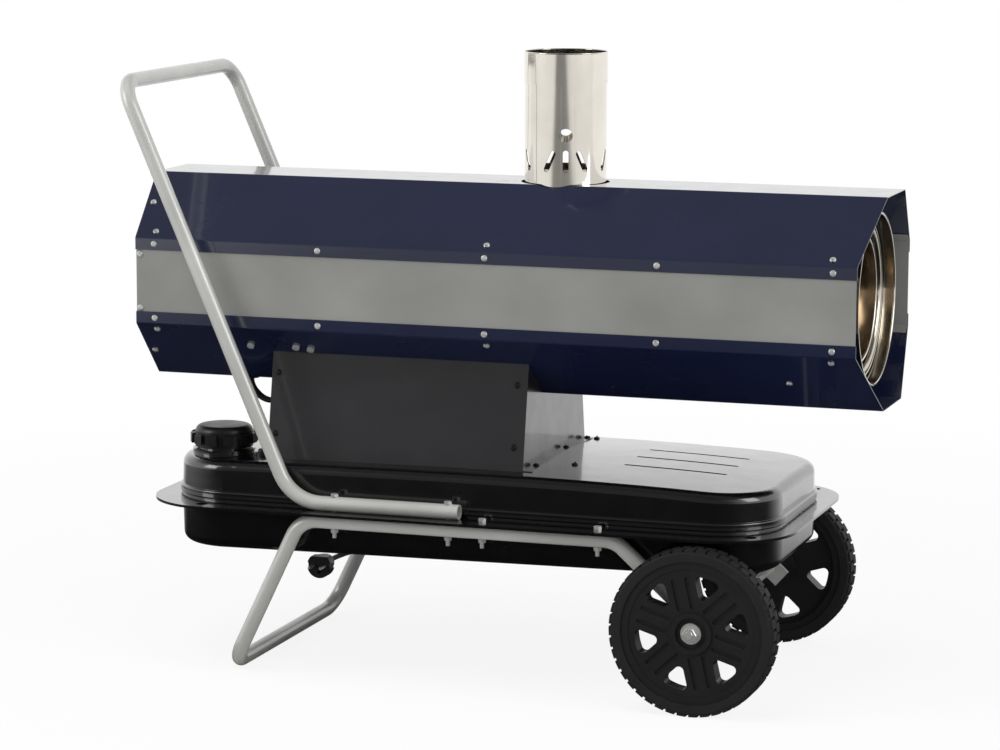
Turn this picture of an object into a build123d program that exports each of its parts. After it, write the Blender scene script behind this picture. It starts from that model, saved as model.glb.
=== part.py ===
"""Indirect-fired diesel heater on a two-wheeled hand cart.

Millimetres, +Z up. X runs along the casing: the hot air leaves at +X and the fan sits at -X.
The near side is -Y. The origin is on the floor, under the middle of the casing.
"""

import math
import os

from build123d import *

os.makedirs("parts", exist_ok=True)

# Casing
casing_length = 1120.0
casing_half_width = 178.0
casing_flat_half = 60.0
casing_bottom_z = 417.0
casing_lower_bend_z = 508.0
casing_upper_bend_z = 636.0
casing_top_z = 723.0
casing_rake = 16.0
casing_sheet = 1.0
casing_bend = 3.0
lip_height = 18.0
panel_flange_rise = 9.0
panel_end_gap = 1.0
duct_axis_z = (casing_bottom_z + casing_top_z) / 2

# Fits between pieces
slip = 0.3
running = 0.05

# Air path and heat exchanger
duct_radius = 124.0
duct_sheet = 1.2
duct_rear_x = -240.0
duct_set_in = 25.0
duct_front_x = casing_length / 2 - duct_set_in
hose_collar_length = 26.0
hose_collar_sheet = 1.0
exchanger_outer = 116.0
exchanger_inner = 102.0
exchanger_sheet = 1.2
exchanger_rear_x = -150.0
exchanger_front_x = duct_front_x - 17.0
exchanger_foot = 24.0
chamber_radius = 86.0
chamber_sheet = 1.5
chamber_rear_x = -198.0
chamber_front_x = duct_front_x - 21.0
chamber_end_x = duct_front_x - 39.0
crossover_radius = 16.0
crossover_x = 440.0
strap_x = 490.0
strap_length = 22.0
strap_height = 11.0
bulkhead_sheet = 1.5
bulkhead_set_in = 60.0
front_bulkhead_x = casing_length / 2 - bulkhead_set_in

# Flue
flue_x = 66.0
flue_radius = 60.0
flue_sheet = 1.0
flue_top_z = 914.0
flue_seat_z = 706.0
flue_socket_length = 45.0
flue_socket_step = 1.2
flue_hole_radius = 65.0
collar_top_z = 745.0
collar_ring_radius = 63.0
collar_ring_height = 2.0
flue_turn = -72.8
flue_slot_z = 757.0
flue_slot_length = 33.0
flue_slot_width = 8.5
flue_slot_lean = 24.0
flue_slot_spread = 23.0
flue_eye_z = 795.0
flue_eye_radius = 10.0

# Fan, motor and burner
guard_x = -540.0
guard_wire = 2.0
fan_plate_x = -500.0
fan_opening = 140.0
fan_tip_gap = 4.0
fan_hub_radius = 28.0
fan_hub_length = 34.0
fan_blade_sheet = 2.0
fan_blade_count = 5
shaft_radius = 6.0
motor_radius = 45.0
motor_rear_x = -470.0
motor_front_x = -352.0
pump_radius = 26.0
pump_length = 50.0
shaft_in_pump = 18.0
burner_tube_radius = 40.0
burner_tube_sheet = 1.5
burner_tube_rear_x = -268.0
burner_tube_front_x = -165.0
nozzle_radius = 8.0
electrode_radius = 4.5
electrode_spread = 13.0
sensor_radius = 8.0
pipe_radius = 4.0
pipe_x = -325.0
pipe_top_z = 552.0
pipe_foot_z = 206.0
oil_line_radius = 3.0

# Fuel tank
tank_sheet = 2.0
tank_rear_x = -499.0
tank_front_x = 424.0
tank_half_width = 190.0
tank_corner = 95.0
tank_draft = 1.5
tank_edge_radius = 14.0
seam_z = 247.5
flange_rear_x = -528.0
flange_front_x = 453.0
flange_side_reach = 48.0
flange_half_width = tank_half_width + flange_side_reach
flange_corner = 112.0
bead_proud = 3.5
bead_height = 13.0
bead_lift = 2.5
tank_bottom_rear_z = 177.0
tank_bottom_front_z = 188.0
lash_hole_radius = 9.0
groove_length = 155.0
groove_width = 7.0
groove_depth = 1.4
groove_start_x = 176.0
groove_pitch = 67.0
groove_middle_y = 10.0

# Filler
filler_x = -438.0
filler_y = -98.0
neck_radius = 37.0
neck_sheet = 2.0
neck_top_z = 337.0
cap_radius = 50.0
cap_base_z = 317.5
cap_rim_height = 21.0
cap_dome_height = 11.0
cap_wall = 3.0
cap_lobes = 12
seal_height = 3.0

# Control box
box_rear_x = -346.0
box_front_x = 51.5
box_top_half = 127.0
box_bottom_half = 154.0
box_bottom_z = 313.0
box_sheet = 1.2

# Frame
tube_radius = 11.0
tube_wall = 1.5
tube_beside_tank = 18.0
tube_y = tank_half_width + tube_beside_tank
handle_top_x = -549.0
handle_top_z = 867.0
handle_foot_x = -286.5
handle_end_x = -27.0
handle_top_bend = 38.0
handle_foot_bend = 68.0
stand_rear_x = -273.0
stand_front_x = 207.0
stand_floor_x = -380.0
stand_bend = 42.0
stand_floor_bend = 36.0
tube_flat_width = 31.0
tube_flat_length = 46.0
tube_flat_taper = 38.0
bolt_radius = 3.0
bolt_head_flats = 10.0
bolt_head_height = 4.5
bolt_tail = 13.0
nut_height = 5.0

# Axle and wheels
wheel_radius = 120.0
wheel_width = 37.0
wheel_beside_tube = 18.0
wheel_inner_y = tube_y + wheel_beside_tube
axle_x = 334.0
axle_radius = 6.0
tyre_seat_radius = 103.0
tread_height = 3.0
tread_blocks = 44
tread_gap = 4.0
rim_wall = 11.0
hub_radius = 30.0
hub_recess_radius = 22.5
hub_recess_depth = 4.0
spoke_half_width = 22.0
spoke_thickness = 25.0
spoke_set_back = 3.0
window_turn = 13.0
window_count = 6
washer_radius = 15.0
washer_height = 2.5
axle_nut_flats = 19.0
axle_nut_height = 10.0
spacer_radius = 11.0

# Mains lead and plug
lead_radius = 4.0
gland_x = -250.0
gland_z = 350.0
gland_hex_flats = 22.0
gland_hex_height = 8.0
gland_boot_length = 24.0
plug_radius = 19.5
plug_length = 45.0
plug_pin_radius = 2.4
plug_pin_length = 19.0
plug_pin_spread = 9.5

# Worked out from the dimensions above
flange_top_z = seam_z + tank_sheet
flange_low_z = seam_z - tank_sheet
handle_z = flange_top_z + tube_radius
stand_z = flange_low_z - tube_radius
wheel_outer_y = wheel_inner_y + wheel_width
tank_length = tank_front_x - tank_rear_x
tank_mid_x = (tank_front_x + tank_rear_x) / 2
flange_length = flange_front_x - flange_rear_x
flange_mid_x = (flange_front_x + flange_rear_x) / 2
duct_axis = Axis((0, 0, duct_axis_z), (1, 0, 0))
duct_plane = Plane(origin=(0, 0, duct_axis_z), x_dir=(0, 1, 0), z_dir=(1, 0, 0))
upper_run = casing_half_width - casing_flat_half
upper_rise = casing_top_z - casing_upper_bend_z
lower_rise = casing_lower_bend_z - casing_bottom_z
upper_slope = math.hypot(upper_run, upper_rise)
lower_slope = math.hypot(upper_run, lower_rise)


def casing_outline(inset):
    """Six-sided section of the casing in Y and Z, set in from its outer face."""
    with BuildSketch() as outline:
        with BuildLine():
            Polyline(
                (-casing_flat_half, casing_bottom_z),
                (casing_flat_half, casing_bottom_z),
                (casing_half_width, casing_lower_bend_z),
                (casing_half_width, casing_upper_bend_z),
                (casing_flat_half, casing_top_z),
                (-casing_flat_half, casing_top_z),
                (-casing_half_width, casing_upper_bend_z),
                (-casing_half_width, casing_lower_bend_z),
                close=True,
            )
        make_face()
        fillet(outline.vertices(), casing_bend)
        if inset > 0:
            offset(amount=-inset, mode=Mode.REPLACE)
    return outline.sketch


def raked_plan():
    """Plan of the covers: the top and bottom flats reach further out than the sides."""
    half = casing_length / 2
    with BuildSketch() as plan:
        with BuildLine():
            Polyline(
                (-half, -casing_flat_half),
                (-half, casing_flat_half),
                (casing_rake - half, casing_half_width),
                (half - casing_rake, casing_half_width),
                (half, casing_flat_half),
                (half, -casing_flat_half),
                (half - casing_rake, -casing_half_width),
                (casing_rake - half, -casing_half_width),
                close=True,
            )
        make_face()
    return plan.sketch


def side_spot(side, x, z):
    """A place on the casing's upright side, facing out."""
    return Plane(origin=(x, side * casing_half_width, z), x_dir=(1, 0, 0), z_dir=(0, side, 0))


def upper_spot(side, x, y):
    """A place on the upper sloping face, facing out."""
    z = casing_top_z - (y - casing_flat_half) * upper_rise / upper_run
    out = (0, side * upper_rise / upper_slope, upper_run / upper_slope)
    return Plane(origin=(x, side * y, z), x_dir=(1, 0, 0), z_dir=out)


def lower_spot(side, x, y):
    """A place on the lower sloping face, facing out."""
    z = casing_bottom_z + (y - casing_flat_half) * lower_rise / upper_run
    out = (0, side * lower_rise / lower_slope, -upper_run / lower_slope)
    return Plane(origin=(x, side * y, z), x_dir=(1, 0, 0), z_dir=out)


def hexagon_prism(flats, height):
    """A hexagonal head or nut on the floor plane, its corners eased."""
    with BuildPart() as prism:
        with BuildSketch():
            RegularPolygon(radius=flats / 2, side_count=6, major_radius=False)
        extrude(amount=height)
        chamfer(prism.faces().sort_by(Axis.Z)[-1].edges(), height * 0.12)
    return prism.part


screw_head_radius = 4.6
screw_head_height = 2.6
screw_shank_radius = 2.0
screw_shank_length = 7.0
rear_end_x = -casing_length / 2
front_end_x = casing_length / 2
row_pitch = casing_length / 4.375
screw_row_x = (rear_end_x + 46.0, -row_pitch, 0.0, row_pitch, front_end_x - 50.0)
screw_slope_x = (rear_end_x + 45.0, 0.0, front_end_x - 53.0)
upper_lip_z = casing_upper_bend_z - lip_height / 2
lower_lip_z = casing_lower_bend_z + lip_height / 2

upper_screws = []
lower_screws = []
panel_screws = []
end_screw_x = rear_end_x + 23.0
corner_screw_x = rear_end_x + 19.0
front_low_screw_x = front_end_x - 125.0
for side in (-1, 1):
    for x in screw_row_x:
        upper_screws.append(side_spot(side, x, upper_lip_z))
        lower_screws.append(side_spot(side, x, lower_lip_z))
    for x in screw_slope_x:
        upper_screws.append(upper_spot(side, x, casing_half_width - 11))
        lower_screws.append(lower_spot(side, x, casing_half_width - 11))
    upper_screws.append(upper_spot(side, corner_screw_x, 116))
    lower_screws.append(lower_spot(side, corner_screw_x, 116))
    lower_screws.append(lower_spot(side, front_low_screw_x, 114))
    panel_screws.append(side_spot(side, end_screw_x, casing_upper_bend_z - 24.5))
    panel_screws.append(side_spot(side, end_screw_x, casing_lower_bend_z + 23.5))
hex_spots = [lower_spot(side, x, y) for side in (-1, 1) for x, y in ((-377, 139), (-305, 140), (-283, 137))]


# Top cover: lips, slopes and top flat bent from one sheet
with BuildPart() as casing_top:
    lip_low_z = casing_upper_bend_z - lip_height
    with BuildSketch(Plane.YZ):
        add(casing_outline(0))
        add(casing_outline(casing_sheet), mode=Mode.SUBTRACT)
        with Locations((0, lip_low_z)):
            Rectangle(
                2 * casing_half_width + 2,
                casing_top_z - lip_low_z + 1,
                align=(Align.CENTER, Align.MIN),
                mode=Mode.INTERSECT,
            )
    extrude(amount=casing_length / 2, both=True)
    with BuildSketch(Plane.XY.offset(casing_bottom_z - 1)):
        add(raked_plan())
    extrude(amount=casing_top_z - casing_bottom_z + 2, mode=Mode.INTERSECT)
    with Locations((flue_x, 0, casing_top_z)):
        Hole(radius=flue_hole_radius, depth=30)
    with Locations(*upper_screws):
        Hole(radius=screw_shank_radius, depth=5)
casing_top.part.label = "casing_top"
export_step(casing_top.part, "parts/casing_top.step")

# Bottom cover, with holes for the fuel pipe and the burner leads
leads_x = -414.0
leads_y = -50.0
grommet_radius = 13.0
with BuildPart() as casing_bottom:
    lip_high_z = casing_lower_bend_z + lip_height
    with BuildSketch(Plane.YZ):
        add(casing_outline(0))
        add(casing_outline(casing_sheet), mode=Mode.SUBTRACT)
        with Locations((0, lip_high_z)):
            Rectangle(
                2 * casing_half_width + 2,
                lip_high_z - casing_bottom_z + 1,
                align=(Align.CENTER, Align.MAX),
                mode=Mode.INTERSECT,
            )
    extrude(amount=casing_length / 2, both=True)
    with BuildSketch(Plane.XY.offset(casing_bottom_z - 1)):
        add(raked_plan())
    extrude(amount=casing_top_z - casing_bottom_z + 2, mode=Mode.INTERSECT)
    with Locations((pipe_x, 0, casing_bottom_z + casing_sheet)):
        Hole(radius=pipe_radius + slip, depth=5)
    with Locations((leads_x, leads_y, casing_bottom_z + casing_sheet)):
        Hole(radius=grommet_radius - 3, depth=5)
    with Locations(*lower_screws, *hex_spots):
        Hole(radius=screw_shank_radius, depth=5)
casing_bottom.part.label = "casing_bottom"
export_step(casing_bottom.part, "parts/casing_bottom.step")

# Side panels: a channel behind the lips of both covers, its flanges under the slopes
for side, name in ((-1, "side_panel_near"), (1, "side_panel_far")):
    with BuildPart() as side_panel:
        with BuildSketch(Plane.YZ):
            add(casing_outline(casing_sheet))
            add(casing_outline(2 * casing_sheet), mode=Mode.SUBTRACT)
            with Locations((side * casing_half_width, casing_lower_bend_z - panel_flange_rise)):
                Rectangle(
                    2 * upper_run,
                    casing_upper_bend_z - casing_lower_bend_z + 2 * panel_flange_rise,
                    align=(Align.CENTER, Align.MIN),
                    mode=Mode.INTERSECT,
                )
        extrude(amount=casing_length / 2 - casing_rake - panel_end_gap, both=True)
        here = [p for p in upper_screws + lower_screws + panel_screws if p.origin.Y * side > 0]
        with Locations(*[p for p in here if abs(p.origin.Y) > casing_half_width - 12]):
            Hole(radius=screw_shank_radius, depth=6)
    side_panel.part.label = name
    export_step(side_panel.part, f"parts/{name}.step")

# One pan-head screw, used for the casing, the box and the tank
with BuildPart() as pan_screw:
    with BuildSketch():
        Circle(screw_head_radius)
    extrude(amount=screw_head_height)
    fillet(pan_screw.edges().group_by(Axis.Z)[-1], screw_head_height * 0.7)
    with BuildSketch():
        Circle(screw_shank_radius - running)
    extrude(amount=-screw_shank_length)

# Hexagon bolts in the lower slopes that carry the motor bracket and the box
with BuildPart() as slope_bolt:
    add(hexagon_prism(10.0, 4.0))
    with BuildSketch():
        Circle(screw_shank_radius - running)
    extrude(amount=-screw_shank_length)

with BuildPart() as casing_bolts:
    with Locations(*hex_spots):
        add(slope_bolt.part)
casing_bolts.part.label = "casing_bolts"
export_step(casing_bolts.part, "parts/casing_bolts.step")


def bulkhead(x, opening):
    """A plate across the casing that fits inside the panels, with a round opening."""
    with BuildPart() as plate:
        with BuildSketch(Plane.YZ.offset(x)):
            add(casing_outline(2 * casing_sheet))
            with Locations((0, duct_axis_z)):
                Circle(opening, mode=Mode.SUBTRACT)
        extrude(amount=bulkhead_sheet)
    return plate.part


# Three plates across the casing: two carry the air duct, one has the fan opening
with BuildPart() as bulkheads:
    add(bulkhead(duct_rear_x, duct_radius))
    add(bulkhead(front_bulkhead_x, duct_radius))
    add(bulkhead(fan_plate_x, fan_opening))
bulkheads.part.label = "bulkheads"
export_step(bulkheads.part, "parts/bulkheads.step")

# Outer air duct, with a collar at the outlet that takes a hose
with BuildPart() as air_duct:
    with BuildSketch(duct_plane.offset(duct_rear_x)):
        Circle(duct_radius)
        Circle(duct_radius - duct_sheet, mode=Mode.SUBTRACT)
    extrude(amount=duct_front_x - duct_rear_x)
    with BuildSketch(duct_plane.offset(duct_front_x - hose_collar_length)):
        Circle(duct_radius + hose_collar_sheet)
        Circle(duct_radius - duct_sheet, mode=Mode.SUBTRACT)
    extrude(amount=hose_collar_length)
    with Locations((flue_x, 0, duct_axis_z + duct_radius + 1)):
        Hole(radius=flue_radius - flue_sheet, depth=duct_radius)
air_duct.part.label = "air_duct"
export_step(air_duct.part, "parts/air_duct.step")


def round_bar(x0, x1, radius):
    """A solid round bar about the duct axis, from x0 to x1."""
    with BuildPart() as bar:
        with BuildSketch(duct_plane.offset(x0)):
            Circle(radius)
        extrude(amount=x1 - x0)
    return bar.part


def ring_wall(x0, x1, r0, r1):
    """A round wall about the duct axis, from x0 to x1 and from r0 to r1."""
    with BuildPart() as wall:
        add(round_bar(x0, x1, r1))
        add(round_bar(x0, x1, r0), mode=Mode.SUBTRACT)
    return wall.part


def flue_collar():
    """The collar on the exchanger, with the ring that the flue pipe stands on."""
    with BuildPart() as collar:
        with BuildSketch(Plane.XY.offset(duct_axis_z)):
            with Locations((flue_x, 0)):
                Circle(collar_outer)
        extrude(amount=collar_top_z - duct_axis_z)
        with BuildSketch(Plane.XY.offset(flue_seat_z - collar_ring_height)):
            with Locations((flue_x, 0)):
                Circle(collar_ring_radius)
        extrude(amount=collar_ring_height)
        with BuildSketch(Plane.XY.offset(duct_axis_z)):
            with Locations((flue_x, 0)):
                Circle(collar_inner)
        extrude(amount=collar_top_z - duct_axis_z, mode=Mode.SUBTRACT)
        add(round_bar(flue_x - 2 * flue_radius, flue_x + 2 * flue_radius, nose_mid), mode=Mode.SUBTRACT)
    return collar.part


# Annular heat exchanger: two walls joined by a rounded nose and a flat back, feet
# that rest in the duct, and the collar that the flue pipe stands on
collar_outer = flue_radius - flue_sheet - slip
collar_inner = collar_outer - flue_sheet
nose_radius = (exchanger_outer - exchanger_inner) / 2
nose_mid = (exchanger_outer + exchanger_inner) / 2
nose_x = exchanger_front_x - nose_radius
with BuildPart() as heat_exchanger:
    add(ring_wall(exchanger_rear_x, nose_x, exchanger_outer - exchanger_sheet, exchanger_outer))
    with Locations((flue_x, 0, duct_axis_z + exchanger_outer + 1)):
        Hole(radius=collar_inner, depth=exchanger_outer)
    add(ring_wall(exchanger_rear_x, nose_x, exchanger_inner, exchanger_inner + exchanger_sheet))
    add(ring_wall(exchanger_rear_x, exchanger_rear_x + exchanger_sheet, exchanger_inner, exchanger_outer))
    with BuildSketch(Plane.XZ):
        with Locations((nose_x, duct_axis_z + nose_mid)):
            Circle(nose_radius)
            Circle(nose_radius - exchanger_sheet, mode=Mode.SUBTRACT)
            Rectangle(2 * nose_radius, 2 * nose_radius, align=(Align.MAX, Align.CENTER), mode=Mode.SUBTRACT)
    revolve(axis=duct_axis)
    for angle in (45, 135, 225, 315):
        leg = Plane(
            origin=(exchanger_rear_x + 40, 0, duct_axis_z),
            x_dir=(1, 0, 0),
            z_dir=(0, math.cos(math.radians(angle)), math.sin(math.radians(angle))),
        )
        with BuildSketch(leg.offset(exchanger_outer - exchanger_sheet / 2)):
            Rectangle(exchanger_foot, exchanger_foot / 2)
            with Locations((exchanger_front_x - exchanger_rear_x - 100, 0)):
                Rectangle(exchanger_foot, exchanger_foot / 2)
        extrude(amount=duct_radius - duct_sheet - slip - exchanger_outer + exchanger_sheet / 2 - 0.4)
    crossover_planes = [
        Plane(
            origin=(crossover_x, 0, duct_axis_z),
            x_dir=(1, 0, 0),
            z_dir=(0, math.cos(math.radians(a)), math.sin(math.radians(a))),
        )
        for a in (0, 120, 240)
    ]
    for plane in crossover_planes:
        with BuildSketch(plane.offset(chamber_radius)):
            Circle(crossover_radius - exchanger_sheet)
        extrude(amount=nose_mid - chamber_radius, mode=Mode.SUBTRACT)
    add(flue_collar())
heat_exchanger.part.label = "heat_exchanger"
export_step(heat_exchanger.part, "parts/heat_exchanger.step")

# Combustion chamber: a drum with a dished end set back from its front rim, three
# short ducts that take the burnt gas into the exchanger, and three straps in front
with BuildPart() as combustion_chamber:
    for plane in crossover_planes:
        with BuildSketch(plane.offset(chamber_radius - 6)):
            Circle(crossover_radius)
            with Locations((strap_x + strap_length / 2 - crossover_x, 0)):
                Rectangle(strap_length, strap_height)
        extrude(amount=exchanger_inner - chamber_radius + 6)
    add(ring_wall(crossover_x - 40, duct_front_x, exchanger_inner, exchanger_outer), mode=Mode.SUBTRACT)
    add(round_bar(crossover_x - 40, duct_front_x, chamber_radius - chamber_sheet), mode=Mode.SUBTRACT)
    add(ring_wall(chamber_rear_x, chamber_front_x, chamber_radius - chamber_sheet, chamber_radius))
    with BuildSketch(Plane.XZ):
        with BuildLine():
            rim = chamber_radius - chamber_sheet / 2
            low = Line((chamber_end_x, duct_axis_z), (chamber_end_x, duct_axis_z + rim * 0.55))
            curve = ThreePointArc(
                low @ 1,
                (chamber_end_x - 3, duct_axis_z + rim * 0.8),
                (chamber_end_x - 12, duct_axis_z + rim),
            )
            edge = Line(curve @ 1, curve @ 1 - (chamber_sheet, 0))
            back = ThreePointArc(
                edge @ 1,
                (chamber_end_x - 3 - chamber_sheet, duct_axis_z + rim * 0.78),
                (chamber_end_x - chamber_sheet, duct_axis_z + rim * 0.53),
            )
            shut = Line(back @ 1, (chamber_end_x - chamber_sheet, duct_axis_z))
            Line(shut @ 1, low @ 0)
        make_face()
    revolve(axis=duct_axis)
    for plane in crossover_planes:
        with BuildSketch(plane.offset(chamber_radius / 2)):
            Circle(crossover_radius - exchanger_sheet)
        extrude(amount=chamber_radius, mode=Mode.SUBTRACT)
combustion_chamber.part.label = "combustion_chamber"
export_step(combustion_chamber.part, "parts/combustion_chamber.step")

def flue_wall(turn, z):
    """A plane on the flue's wall, facing out, turn degrees round its axis."""
    c, s = math.cos(math.radians(turn)), math.sin(math.radians(turn))
    reach = flue_radius + 1
    return Plane(origin=(flue_x + reach * c, reach * s, z), x_dir=(-s, c, 0), z_dir=(c, s, 0))


# Flue pipe with draught slots in four groups, two sight holes and a socket on top
with BuildPart() as flue_pipe:
    with BuildSketch(Plane.XY.offset(flue_seat_z)):
        with Locations((flue_x, 0)):
            Circle(flue_radius)
    extrude(amount=flue_top_z - flue_seat_z)
    with BuildSketch(Plane.XY.offset(flue_top_z - flue_socket_length - flue_sheet)):
        with Locations((flue_x, 0)):
            Circle(flue_radius + flue_socket_step)
    extrude(amount=flue_socket_length + flue_sheet)
    with BuildSketch(Plane.XY.offset(flue_seat_z)):
        with Locations((flue_x, 0)):
            Circle(flue_radius - flue_sheet)
    extrude(amount=flue_top_z - flue_seat_z, mode=Mode.SUBTRACT)
    with BuildSketch(Plane.XY.offset(flue_top_z - flue_socket_length)):
        with Locations((flue_x, 0)):
            Circle(flue_radius - flue_sheet + flue_socket_step)
    extrude(amount=flue_socket_length, mode=Mode.SUBTRACT)
    for group in range(4):
        turn = flue_turn + 90 * group
        for lean in (-1, 0, 1):
            with BuildSketch(flue_wall(turn + lean * flue_slot_spread, flue_slot_z)):
                SlotOverall(flue_slot_length, flue_slot_width, rotation=90 + lean * flue_slot_lean)
            extrude(amount=-6, mode=Mode.SUBTRACT)
        if group % 2 == 0:
            with BuildSketch(flue_wall(turn, flue_eye_z)):
                Circle(flue_eye_radius)
            extrude(amount=-6, mode=Mode.SUBTRACT)
flue_pipe.part.label = "flue_pipe"
export_step(flue_pipe.part, "parts/flue_pipe.step")

# Wire guard over the fan: rings tied by four spokes that reach the panels
with BuildPart() as rear_guard:
    guard_reach = casing_half_width - 2 * casing_sheet - slip
    for ring in range(1, 8):
        with BuildSketch(Plane.XZ):
            with Locations((guard_x, duct_axis_z + 20 * ring)):
                Circle(guard_wire)
        revolve(axis=duct_axis)
    for angle in (0, 90):
        spoke = Plane(
            origin=(guard_x, 0, duct_axis_z),
            x_dir=(1, 0, 0),
            z_dir=(0, math.cos(math.radians(angle)), math.sin(math.radians(angle))),
        )
        reach = guard_reach if angle == 0 else duct_axis_z - casing_bottom_z - casing_sheet - slip
        with BuildSketch(spoke.offset(-reach)):
            Circle(guard_wire * 1.4)
        extrude(amount=2 * reach)
rear_guard.part.label = "rear_guard"
export_step(rear_guard.part, "parts/rear_guard.step")

# Fan motor: finned body between two end shields, bored for its shaft
with BuildPart() as fan_motor:
    with BuildSketch(duct_plane.offset(motor_rear_x)):
        Circle(motor_radius - 3)
    extrude(amount=motor_front_x - motor_rear_x)
    chamfer(fan_motor.edges().filter_by(GeomType.CIRCLE), 3)
    with BuildSketch(duct_plane.offset(motor_rear_x + 22)):
        Circle(motor_radius)
        with PolarLocations(motor_radius, 24):
            Rectangle(5, 4, mode=Mode.SUBTRACT)
    extrude(amount=motor_front_x - motor_rear_x - 44)
    with BuildSketch(duct_plane.offset(motor_rear_x)):
        Circle(shaft_radius + running)
    extrude(amount=motor_front_x - motor_rear_x, mode=Mode.SUBTRACT)
fan_motor.part.label = "fan_motor"
export_step(fan_motor.part, "parts/fan_motor.step")

# Saddle that carries the motor on the casing's bottom flat
bracket_half = 36.0
with BuildPart() as motor_bracket:
    bracket_x = (motor_rear_x + motor_front_x) / 2
    base_z = casing_bottom_z + casing_sheet
    with BuildSketch(Plane.XY.offset(base_z)):
        with Locations((bracket_x, 0)):
            Rectangle(70, 2 * bracket_half)
    extrude(amount=3)
    with BuildSketch(Plane.YZ.offset(bracket_x - 20)):
        with Locations((0, base_z)):
            Rectangle(2 * bracket_half, duct_axis_z - base_z - 22, align=(Align.CENTER, Align.MIN))
        with Locations((0, duct_axis_z)):
            Circle(motor_radius, mode=Mode.SUBTRACT)
    extrude(amount=40)
    with BuildSketch(Plane.YZ.offset(bracket_x - 17)):
        with Locations((0, base_z + 3)):
            Rectangle(90, duct_axis_z - base_z, align=(Align.CENTER, Align.MIN))
    extrude(amount=34, mode=Mode.SUBTRACT)
motor_bracket.part.label = "motor_bracket"
export_step(motor_bracket.part, "parts/motor_bracket.step")

# Shaft through the motor: fan at the rear end, pump at the front end
fan_front_x = motor_rear_x - 8
fan_rear_x = fan_front_x - fan_hub_length
with BuildPart() as motor_shaft:
    with BuildSketch(duct_plane.offset(fan_rear_x + 3)):
        Circle(shaft_radius)
    extrude(amount=motor_front_x + shaft_in_pump - fan_rear_x - 3)
motor_shaft.part.label = "motor_shaft"
export_step(motor_shaft.part, "parts/motor_shaft.step")


def fan_blade(turn):
    """One twisted blade, from inside the hub to just short of the fan opening."""
    mid_x = (fan_front_x + fan_rear_x) / 2
    c, s = math.cos(math.radians(turn)), math.sin(math.radians(turn))
    root = Plane(origin=(mid_x, 0, duct_axis_z), x_dir=(1, 0, 0), z_dir=(0, c, s))
    with BuildPart() as blade:
        with BuildSketch(root.offset(fan_hub_radius - 4)):
            Rectangle(34, fan_blade_sheet, rotation=48)
        with BuildSketch(root.offset(fan_opening - fan_tip_gap)):
            Rectangle(62, fan_blade_sheet, rotation=64)
        loft()
    return blade.part


# Axial fan
with BuildPart() as fan_blades:
    with BuildSketch(duct_plane.offset(fan_rear_x)):
        Circle(fan_hub_radius)
    extrude(amount=fan_hub_length)
    for blade in range(fan_blade_count):
        add(fan_blade(90 + blade * 360 / fan_blade_count))
    with BuildSketch(duct_plane.offset(fan_rear_x + 3)):
        Circle(shaft_radius)
    extrude(amount=fan_hub_length, mode=Mode.SUBTRACT)
fan_blades.part.label = "fan_blades"
export_step(fan_blades.part, "parts/fan_blades.step")

# Oil pump on the front face of the motor, drilled below for the suction pipe
pump_front_x = motor_front_x + pump_length
with BuildPart() as fuel_pump:
    with BuildSketch(duct_plane.offset(motor_front_x)):
        Circle(pump_radius)
    extrude(amount=pump_length)
    with BuildSketch(duct_plane.offset(motor_front_x + 12)):
        Rectangle(2 * pump_radius + 8, 2 * pump_radius - 8)
    extrude(amount=pump_length - 24)
    with BuildSketch(duct_plane.offset(motor_front_x)):
        Circle(shaft_radius + running)
    extrude(amount=shaft_in_pump + slip, mode=Mode.SUBTRACT)
    with Locations((pipe_x, 0, pipe_top_z)):
        Cylinder(pipe_radius, 20, align=(Align.CENTER, Align.CENTER, Align.MAX), mode=Mode.SUBTRACT)
fuel_pump.part.label = "fuel_pump"
export_step(fuel_pump.part, "parts/fuel_pump.step")

# Burner tube with the flange that shuts the chamber's back and a slotted disc
# that swirls the combustion air round the nozzle
with BuildPart() as burner_tube:
    tube_inside = burner_tube_radius - burner_tube_sheet
    add(ring_wall(burner_tube_rear_x, burner_tube_front_x, tube_inside, burner_tube_radius))
    add(ring_wall(burner_tube_rear_x, burner_tube_rear_x + 2, nozzle_radius, burner_tube_radius))
    add(ring_wall(chamber_rear_x - 2, chamber_rear_x, burner_tube_radius - 0.5, chamber_radius))
    rear_wall = duct_plane.offset(burner_tube_rear_x - 1)
    with BuildSketch(rear_wall):
        with Locations((-electrode_spread, 18), (electrode_spread, 18)):
            Circle(electrode_radius)
        with Locations((0, -24)):
            Circle(sensor_radius)
    extrude(amount=4, mode=Mode.SUBTRACT)
    with BuildSketch(duct_plane.offset(burner_tube_front_x - 6)):
        Circle(burner_tube_radius - burner_tube_sheet / 2)
        Circle(nozzle_radius, mode=Mode.SUBTRACT)
        with PolarLocations(24, 8):
            SlotOverall(16, 4, mode=Mode.SUBTRACT)
    extrude(amount=1.5)
burner_tube.part.label = "burner_tube"
export_step(burner_tube.part, "parts/burner_tube.step")

# Nozzle on its holder, fed by a short line from the pump
with BuildPart() as oil_nozzle:
    add(round_bar(pump_front_x, burner_tube_rear_x - 11, oil_line_radius))
    with BuildSketch(duct_plane.offset(burner_tube_rear_x - 12)):
        Circle(nozzle_radius)
    extrude(amount=burner_tube_front_x - burner_tube_rear_x + 16)
    chamfer(oil_nozzle.faces().sort_by(Axis.X)[-1].edges(), 4)
oil_nozzle.part.label = "oil_nozzle"
export_step(oil_nozzle.part, "parts/oil_nozzle.step")

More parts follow.
